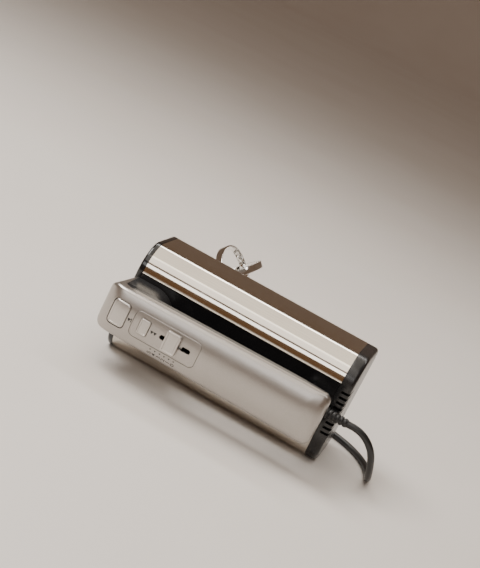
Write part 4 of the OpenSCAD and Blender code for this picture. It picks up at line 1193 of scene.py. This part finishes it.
@dataclass
class Controls:
    """The grooved plate, the speed slider and the two push buttons."""

    handle: Handle
    slot_x: tuple[float, float] = (115.2, 141.0)
    slot_w: float = 3.5
    turbo_x: float = 154.7
    turbo_size: tuple[float, float] = (8.2, 12.4)
    knob_x: float = 130.7
    knob_size: tuple[float, float] = (12.0, 17.0)
    stem_x: float = 126.7
    foot_z: float = 112.0
    plate_t: float = 1.4
    knob_bow: float = 0.0022
    turbo_bow: float = 0.004

    def build(self) -> None:
        """Builds the plate, the slider and the buttons."""
        self.plate()
        self.knob()
        self.turbo()
        self.eject()
        self.spring("eject", (self.handle.eject_x, 92.62, 111.88), 4.4, 0.5, 7, 6.0)
        self.spring("turbo", (self.turbo_x, 105.7, 111.9), 2.6, 0.4, 4, 2.5)

    def plate(self) -> None:
        """Builds the crowned plate with the slot and the turbo button's hole."""
        h = self.handle
        mid, length = middle_and_length(h.plate_x)
        top = lambda x, y: h.sizes.crown(mid, y) + 0.1
        low = lambda x, y: h.sizes.crown(mid, y) - self.plate_t
        outline = rounded_rect((mid, 0, 0), (length, h.plate_width), 4, 8)
        xs, ys = steps_between(110, 163, 12), steps_between(-10, 10, 13)
        bm = Cap(outline, top, 0.4, low, xs, ys, 0.14, 0.5).build_closed()
        plate = make_piece(bm, "control_face", "satin_silver", "housing", ["control_plate"], crease=40)
        slot_mid, slot_length = middle_and_length(self.slot_x)
        turbo = (self.turbo_size[0] + 0.7, self.turbo_size[1] + 0.7)
        for x, size, radius in ((slot_mid, (slot_length, self.slot_w), self.slot_w / 2 - 0.05),
                                (self.turbo_x, turbo, 1.85)):
            carve(plate, self.flared_hole((x, 0), size, radius), crease=25)
        icon = gather(bmesh.new(), *(Handle.pointer((x, 0.0), 1.7) for x in (147.6, 144.9)))
        h.print_on(icon, "turbo_mark", -0.03)

    def flared_hole(self, at: tuple[float, float], size: tuple[float, float], radius: float,
                    flare: float = 0.35) -> BMesh:
        """A cutter for a hole with a small chamfer at the crown.

        Args:
            at: the hole's middle.
            size: its length and width.
            radius: its corner radius.
            flare: the chamfer's width.

        Returns:
            The closed cutter.
        """
        depth = 6
        sketch = rounded_rect((*at, self.handle.sizes.crown_z + 0.1 - depth), size, radius, 8)
        bm = sketch.bm
        moved = pull(bm, [sketch.close()], (0, 0, depth - flare))
        moved = pull(bm, moved, (0, 0, flare), keep=False)
        scale = ((size[0] + 2 * flare) / size[0], (size[1] + 2 * flare) / size[1], 1)
        ends = list({v for f in moved for v in f.verts})
        bmesh.ops.scale(bm, vec=scale, verts=ends, space=Matrix.Translation((-at[0], -at[1], 0)))
        pull(bm, moved, (0, 0, 3.0), keep=False)
        return bm

    def knob(self) -> None:
        """Builds the slider's dished knob with its stem and shoe."""
        top_z = self.handle.sizes.crown_z + 3.4
        xs, ys = steps_between(self.knob_x - 5, self.knob_x + 5, 5), steps_between(-7.5, 7.5, 11)
        top, low = lambda x, y: top_z - self.knob_bow * y * y, lambda x, y: top_z - 3.0
        outline = rounded_rect((self.knob_x, 0, 0), self.knob_size, 2, 6)
        bm = Cap(outline, top, 0.8, low, xs, ys, 0.55, 0.7).build_closed()
        slab(bm, self.stem_x, (1.5, 1.1), 111.6, top_z - 2, 0.3)
        slab(bm, self.stem_x, (4, 3.5), 115.4, 117.2, 0.4)
        make_piece(bm, "slider_knob", "button_silver", "slider", ["speed_slider"], crease=40)

    def turbo(self) -> None:
        """Builds the small push button."""
        top_z = self.handle.sizes.crown_z + 1.0
        xs, ys = steps_between(151.5, 158, 5), steps_between(-5, 5, 9)
        top, low = lambda x, y: top_z - self.turbo_bow * y * y, lambda x, y: self.foot_z
        outline = rounded_rect((self.turbo_x, 0, 0), self.turbo_size, 1.5, 6)
        bm = Cap(outline, top, 0.7, low, xs, ys, 0.35, 0.45).build_closed()
        slab(bm, self.turbo_x, (5.3, 7.4), self.foot_z, self.foot_z + 2.6, 0.5)
        make_piece(bm, "turbo_cap", "button_silver", "turbo", ["turbo_button"], crease=40)

    def eject(self) -> None:
        """Builds the large push button, which follows the nose."""
        h = self.handle
        half_x, half_y = h.eject_size[0] / 2, h.eject_size[1] / 2
        xs = steps_between(h.eject_x - half_x + 1, h.eject_x + half_x - 1, 9)
        top = lambda x, y: max(h.sizes.crown(x, y) + 0.5, self.foot_z + 3.0)
        cap = Cap(rounded_rect((h.eject_x, 0, 0), h.eject_size, 3, 8), top, 1.3, lambda x, y: self.foot_z,
                  xs, steps_between(-8.5, 8.5, 11), 0.2, 0.5)
        bm = cap.build_closed()
        block(bm, (h.eject_x - half_x - 1.1, -half_y - 1.1, self.foot_z),
              (h.eject_x + half_x + 0.4, half_y + 1.1, self.foot_z + 2.4), 0.8, 2)
        make_piece(bm, "eject_cap", "button_silver", "eject", ["eject_button"], crease=40)


    @staticmethod
    def spring(button: str, place: tuple[float, float, float], radius: float, wire_r: float, turns: int,
               travel: float) -> None:
        """Winds a spring that shortens as its button is pressed.

        Args:
            button: the button's name, which its joint, its node and the piece share.
            place: where it stands along the handle, and its lower and upper ends.
            radius: the radius of its turns.
            wire_r: the radius of its wire.
            turns: the number of its turns.
            travel: how far the button goes down; not used.
        """
        x, low, high = place
        bm = bmesh.new()
        start = Matrix.Translation((radius, 0, low + wire_r)) @ Matrix.Rotation(math.pi / 2, 4, "X")
        wire = bmesh.ops.create_circle(bm, cap_ends=True, segments=8, radius=wire_r, matrix=start)["verts"]
        edges = list({e for v in wire for e in v.link_edges})
        steps = turns * 18
        rise = (high - low - 2 * wire_r) / steps
        made = bmesh.ops.spin(bm, geom=edges + wire, cent=ORIGIN, axis=AXIS_Z, dvec=(0, 0, rise),
                              angle=math.tau * turns, steps=steps, use_merge=False)["geom_last"]
        bmesh.ops.contextual_create(bm, geom=of_kind(made, BMEdge))
        bmesh.ops.translate(bm, vec=(x, 0, 0), verts=bm.verts[:])
        coil = make_piece(bm, button + "_coil", "spring_steel", "housing", [button + "_spring"], crease=60)
        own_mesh(coil)


# ---------------------------------------------------------------- beaters


@dataclass
class Beater:
    """One beater: a shank with its collar and hub, and two crossing loops of strip."""

    node: str
    side: int
    turn: float
    collar_r: float
    spindle_x: float = 148.0
    spindle_y: float = 19.0
    shank_r: float = 4.0
    top_z: float = 51.0
    free: float = 50.0
    cage_h: float = 74.0
    cage_r: float = 24.5
    strip_w: float = 6.0
    strip_t: float = 1.4
    belly: float = 0.72

    def build(self) -> None:
        """Builds the beater as one chromed piece."""
        r, end, collar = self.shank_r, -self.free, self.collar_r
        foot = end - self.cage_h
        shank = lathe([(0, self.top_z), (r - 0.8, self.top_z), (r - 0.1, self.top_z - 0.9), (r - 0.05, 6),
                       (r - 0.05, -3.4), (r + 0.4, -3.8), (collar - 0.5, -4), (collar, -4.5), (collar, -6.5),
                       (collar - 0.5, -7), (r + 0.6, -7.2), (r, -8), (r, end + 3), (r + 0.9, end + 1.6),
                       (r + 1.8, end + 0.4), (r + 1.8, end - 4.2), (r + 1.1, end - 5), (0, end - 5)])
        foot_knob = lathe([(0, foot + 3.4), (2.6, foot + 3.2), (3.5, foot + 2.4), (3.5, foot + 0.7),
                           (2.7, foot), (0, foot)], steps=24)
        bm = gather(shank, foot_knob, self.loop(self.turn), self.loop(self.turn + 90))
        bmesh.ops.translate(bm, vec=(self.spindle_x, self.side * self.spindle_y, 0), verts=bm.verts[:])
        make_piece(bm, self.node.replace("beater", "whisk"), "chrome", self.node, [self.node], crease=38)

    def loop(self, turn: float) -> BMesh:
        """One closed loop of rounded strip.

        Args:
            turn: its angle round the shank, in degrees.

        Returns:
            The new mesh.
        """
        half = self.cage_h / 2
        middle, y = -self.free - half, -self.strip_w / 2
        angles = [math.radians(a) for a in steps_between(8, 180, 27)]
        arm = [(self.cage_r * max(math.sin(a), 0) ** self.belly, middle + half * math.cos(a)) for a in angles]
        sketch = Sketch((arm[0][0], y, arm[0][1]))
        for x, z in arm[1:-1] + [(-x, z) for x, z in reversed(arm[:-1])]:
            sketch.line((x, y, z))
        bm = sketch.bm
        band(bm, sketch.close(), self.strip_t, (0, self.strip_w, 0), 0.42, 3)
        spun = Matrix.Rotation(math.radians(turn), 3, "Z")
        bmesh.ops.rotate(bm, cent=ORIGIN, matrix=spun, verts=bm.verts[:])
        return bm


# ---------------------------------------------------------------- cord


@dataclass
class Lead:
    """The mains lead: boot, cord, coil, tie and plug."""

    diameter: float = 5.5
    coil_at: tuple[float, float] = (20.0, 94.8)
    coil_r: tuple[float, float, float] = (27.0, 32.5, 38.0)
    layers: tuple[float, float] = (3.55, 9.05)
    lying_z: float = 2.8
    slack: float = 1.0025
    plug_at: tuple[float, float, float] = (34.0, 143.0, 6.85)
    route: list[tuple[float, float, float]] = field(default_factory=lambda: [
        (106, -49, 46), (113, -49, 46), (120, -48, 44), (127, -46, 39), (132, -42, 32), (135, -37, 24),
        (137, -31, 16), (138, -23, 9), (138, -13, 5), (137, -2, 3), (134, 10, 2.8), (129, 22, 2.8),
        (122, 32, 2.8), (113, 41, 2.8), (102, 48, 2.8), (89, 53, 2.8), (75, 56, 2.8), (61, 56.8, 2.8),
        (48, 56.8, 2.8), (35, 56.8, 2.8)])
    tail: list[tuple[float, float, float]] = field(default_factory=lambda: [
        (-16.2, 108, 9.05), (-12.6, 118.5, 9), (-7, 128, 6.8), (0.5, 135.5, 4.8), (10, 140.6, 4.2),
        (21.5, 142.8, 5.2), (34, 143, 6.85)])

    def build(self) -> None:
        """Builds the cord with its plug and tie, and the boot where it leaves the handle."""
        plug, pins, sleeves = self.plug()
        tie = self.tie()
        self.cord([plug, pins, sleeves, tie, self.boot()])

    def winding(self) -> list[tuple[float, float, float]]:
        """The coil's points: turns from out to in on the surface, then from in to out on top."""
        # Degrees round the coil, with the turn (0 is the innermost) and the layer from there on.
        stages = [(0, 2, 0), (300, 2, 0), (350, 1, 0), (660, 1, 0), (710, 0, 0), (955, 0, 0), (1015, 0, 1),
                  (1250, 0, 1), (1300, 1, 1), (1610, 1, 1), (1660, 2, 1), (1895, 2, 1)]
        points = []
        for degrees in range(0, 1896, 15):
            before = max(i for i, stage in enumerate(stages) if stage[0] <= degrees)
            one, other = stages[before], stages[min(before + 1, len(stages) - 1)]
            share = (degrees - one[0]) / max(other[0] - one[0], 1)
            ease = share * share * (3 - 2 * share)
            radius = self.coil_r[one[1]] + (self.coil_r[other[1]] - self.coil_r[one[1]]) * ease
            height = self.layers[one[2]] + (self.layers[other[2]] - self.layers[one[2]]) * ease
            if degrees < 30:
                height = self.lying_z + (height - self.lying_z) * degrees / 30
            angle = math.radians(-90 - degrees)
            x, y = self.coil_at
            points.append((x + radius * math.cos(angle), y + radius * math.sin(angle), height))
        return points

    def cord(self, ends: list[Object]) -> None:
        """Args:
            ends: the pieces that go with it; not used.
        """
        points = [Vector(p) * MM for p in [*self.route, *self.winding(), *self.tail]]
        curve = bpy.data.curves.new("mains_lead", "CURVE")
        curve.dimensions, curve.resolution_u = "3D", 5
        curve.bevel_depth, curve.bevel_resolution, curve.use_fill_caps = self.diameter * MM / 2, 4, True
        spline = curve.splines.new("BEZIER")
        spline.bezier_points.add(len(points) - 1)
        for knot, point in zip(spline.bezier_points, points):
            knot.co, knot.handle_left_type, knot.handle_right_type = point, "AUTO", "AUTO"
        lead = into_scene(bpy.data.objects.new("mains_lead", curve))
        curve.materials.append(FINISHES["cord_black"].material())
        ride_as(lead, "cord_black", "housing", ["power_cord", "cord_coil", "cord_tail"])

    def boot(self) -> Object:
        """Builds the ribbed boot round the cord's exit."""
        wall_x, tip_x, big, small, ribs = 13.0, -9.0, 4.6, 3.4, 7
        length = wall_x - tip_x
        profile = [(0.0, wall_x + 3.8), (big + 1.2, wall_x + 3.8), (big + 1.2, wall_x + 2.3),
                   (big - 0.1, wall_x + 2.2), (big - 0.1, wall_x + 0.2)]
        r = lambda x: small + (big - small) * (x - tip_x) / length
        for i in range(ribs):
            start, end, groove = (wall_x - length * (i + share) / ribs for share in (0, 0.72, 0.98))
            profile += [(r(start) - 0.25, start), (r(start), start - 0.35)]
            profile += [(r(end), end + 0.3), (r(end) - 0.25, end)]
            if i < ribs - 1:
                profile += [(r(end) - 0.75, end - 0.1), (r(groove) - 0.75, groove)]
        profile += [(small - 0.3, tip_x), (0.0, tip_x)]
        bm = lathe(profile, (0, 0, 81), AXIS_X, 28)
        return make_piece(bm, "ribbed_boot", "cord_black", "housing", ["strain_relief"], crease=40)

    def tie(self) -> Object:
        """Builds the soft band round the bundle of turns."""
        x0, x1, low, high = self.coil_at[0] + 24.2, self.coil_at[0] + 40.8, 0.1, 12.3
        outline = rounded_rect(ORIGIN, (x1 - x0 + 1.6, high - low), 2.6, 6)
        bm = outline.bm
        band(bm, outline.close(), 0.62, (0, 0, 6), 0.2, 2)
        stand = Matrix.Translation(((x0 + x1) / 2, self.coil_at[1] + 3, (high + low) / 2))
        bmesh.ops.transform(bm, matrix=stand @ Matrix.Rotation(math.pi / 2, 4, "X"), verts=bm.verts[:])
        return make_piece(bm, "coil_band", "grip_black", "housing", ["cord_tie"], FLAT)

    def plug(self) -> tuple[Object, Object, Object]:
        """Builds the flat plug with its two half-sleeved pins.

        Returns:
            The plug, the pins and their sleeves.
        """
        x, y, z = self.plug_at
        sketch = Sketch((x, y - 6, 0))
        for along, across in ((15, -12.5), (33, -11.5), (33, 11.5), (15, 12.5), (0, 6)):
            sketch.line((x + along, y + across, 0))
        bm = prism(sketch, 2 * z)
        soften(bm, [e for e in bm.edges if abs(e.verts[0].co.z - e.verts[1].co.z) > 1], 2.5, 5)
        soften(bm, sharp_edges(bm), 2.4, 5)
        for i in range(5):
            rib_x = x + 10 + 3.2 * i
            for level in (0.05, 2 * z - 0.65):
                block(bm, (rib_x, y - 8, level), (rib_x + 1.6, y + 8, level + 0.6), 0.25, 2)
        body = make_piece(bm, "flat_plug", "cord_black", "housing", ["plug_body"], FLAT)
        pins, sleeves = bmesh.new(), bmesh.new()
        pin = [(0, 27), (2, 27), (2, 50.6), (1.5, 51.7), (0.6, 52), (0, 52)]
        sleeve = [(1.98, 28), (2.06, 28.2), (2.06, 42.6), (1.98, 42.8), (1.98, 28)]
        for side in (-9.5, 9.5):
            gather(pins, lathe(pin, (x, y + side, z), AXIS_X, 20))
            gather(sleeves, lathe(sleeve, (x, y + side, z), AXIS_X, 20))
        made = make_piece(pins, "plug_tips", "pin_brass", "housing", ["plug_pins"], FLAT)
        return body, made, make_piece(sleeves, "pin_sleeves", "cord_black", "housing", (), FLAT)


# ---------------------------------------------------------------- stage


# Each soft light: its place and its width and height in metres, its watts and its tint.
SOFTBOXES = (
    ("key", (-0.9, -0.1, 1.3), (0.8, 0.7), 20, (1.0, 0.97, 0.93)),
    ("top", (-0.2, 0.02, 1.6), (1.9, 1.1), 8, (1.0, 0.90, 0.76)),
    ("broad", (-0.2, -0.98, 1.24), (1.9, 0.74), 8, (1.0, 0.94, 0.86)),
    ("strip", (-0.2, -1.38, 0.70), (1.9, 0.30), 5.5, (1.0, 0.99, 0.97)),
    ("rim", (0.1, 0.75, 1.15), (1.7, 0.16), 6, (1.0, 0.97, 0.93)),
)
SURROUND = ((0.0, (0.32, 0.165, 0.075, 1)), (0.45, (0.30, 0.17, 0.09, 1)), (1.0, (0.60, 0.55, 0.50, 1)))
BACKDROP = (0.34, 0.26, 0.21, 1)
FLOOR_LIGHT, FLOOR_DARK = (0.83, 0.79, 0.75, 1.0), (0.80, 0.755, 0.71, 1.0)


@dataclass
class Studio:
    """Camera, floor and soft light."""

    target: tuple[float, float, float] = (-0.003, -0.048, 0.046)
    azimuth: float = 8.584
    elevation: float = 16.441
    distance: float = 1.0633
    roll: float = 26.87
    lens: float = 88.732
    shift: tuple[float, float] = (0.03177, 0.12203)

    def camera(self) -> None:
        """Places the camera."""
        data = bpy.data.cameras.new("camera")
        data.lens, data.sensor_width, data.sensor_fit = self.lens, 36, "AUTO"
        data.shift_x, data.shift_y = self.shift
        data.clip_start, data.clip_end = 0.05, 20
        camera = bpy.data.objects.new("camera", data)
        a, e = math.radians(self.azimuth), math.radians(self.elevation)
        back = Vector((math.sin(a) * math.cos(e), -math.cos(a) * math.cos(e), math.sin(e)))
        camera.rotation_mode = "QUATERNION"
        camera.location = Vector(self.target) + back * self.distance
        rolled = Quaternion((0, 0, 1), math.radians(self.roll))
        camera.rotation_quaternion = (-back).to_track_quat("-Z", "Y") @ rolled
        into_scene(camera)
        bpy.context.scene.camera = camera

    def floor(self) -> None:
        """Lays the pale floor, which rises behind the mixer."""
        bm = bmesh.new()
        bmesh.ops.create_circle(bm, cap_ends=True, segments=96, radius=6.0)
        wall = Sketch((6, 0, 0)).arc((6, 0, 1.5), -90, AXIS_Y, 16).line((7.5, 0, 6)).bm
        bmesh.ops.spin(wall, geom=wall.verts[:] + wall.edges[:], cent=ORIGIN, axis=AXIS_Z, dvec=ORIGIN,
                       angle=math.pi, steps=48, use_merge=False)
        gather(bm, wall)
        merge(bm)
        face_out(bm)
        for face in bm.faces:
            face.smooth = len(face.verts) == 4
        mesh = bpy.data.meshes.new("floor")
        bm.to_mesh(mesh)
        bm.free()
        material, nodes, shader = new_material("pale_floor")
        tone = nodes.effect("tint drift", nodes.object_space(), 3.0, Light=FLOOR_LIGHT, Dark=FLOOR_DARK)
        nodes.fill(shader, {"Base Color": tone.outputs[0], "Roughness": 0.6})
        mesh.materials.append(material)
        into_scene(bpy.data.objects.new("floor", mesh))

    def light(self) -> None:
        """Hangs the soft lights and sets a quiet surround."""
        for name, at, size, power, colour in SOFTBOXES:
            self.softbox(name, at, size, power, colour)
        world = bpy.data.worlds.new("studio")
        bpy.context.scene.world = world
        world.use_nodes = True
        nodes = Nodes(world.node_tree)
        up = nodes.add("SeparateXYZ", {"Vector": nodes.add("TexCoord").outputs["Generated"]}).outputs["Z"]
        ramp = nodes.add("ValToRGB", {"Fac": nodes.between(up, 0.0, 1.0)})
        for spot, colour in SURROUND:
            marks = ramp.color_ramp.elements
            mark = marks.new(spot) if 0 < spot < 1 else marks[-int(spot)]
            mark.color = colour
        back = next(n for n in world.node_tree.nodes if n.type == "BACKGROUND")
        camera_ray = nodes.add("LightPath").outputs["Is Camera Ray"]
        nodes.fill(back, {"Color": nodes.mix(camera_ray, ramp.outputs[0], BACKDROP), "Strength": 0.5})

    def softbox(self, name: str, at: Point, size: tuple[float, float], power: float, colour: Colour) -> None:
        """Hangs one area light that faces the mixer.

        Args:
            name: its name.
            at: its place in metres.
            size: its width and height in metres.
            power: its strength in watts.
            colour: its tint.
        """
        data = bpy.data.lights.new(name, "AREA")
        data.shape, data.energy, data.color = "RECTANGLE", power, colour
        data.size, data.size_y = size
        lamp = bpy.data.objects.new(name, data)
        lamp.location = at
        lamp.rotation_mode = "QUATERNION"
        lamp.rotation_quaternion = (Vector(self.target) - Vector(at)).to_track_quat("-Z", "Y")
        into_scene(lamp)


def dress_frame() -> None:
    """Gives every CAD node the finish that the record names for it."""
    slots = {part["node"]: part["material_slot"] for part in frame["record"]["subparts"]}
    for name, node in frame["nodes"].items():
        material = FINISHES[slots[name]].material()
        if not node.data.materials:
            node.data.materials.append(material)
        for index in range(len(node.data.materials)):
            node.data.materials[index] = material


def main() -> None:
    """Builds the scene in order."""
    logging.basicConfig(level=logging.INFO, format="%(name)s: %(message)s")
    studio = Studio()
    studio.camera()
    Lead().build()
    dress_frame()
    Body().build()
    handle = Handle()
    handle.build()
    Controls(handle).build()
    Beater("beater_left", 1, 0.0, 8.5).build()
    Beater("beater_right", -1, 45.0, 6.5).build()
    studio.floor()
    studio.light()


if __name__ == "__main__":
    main()
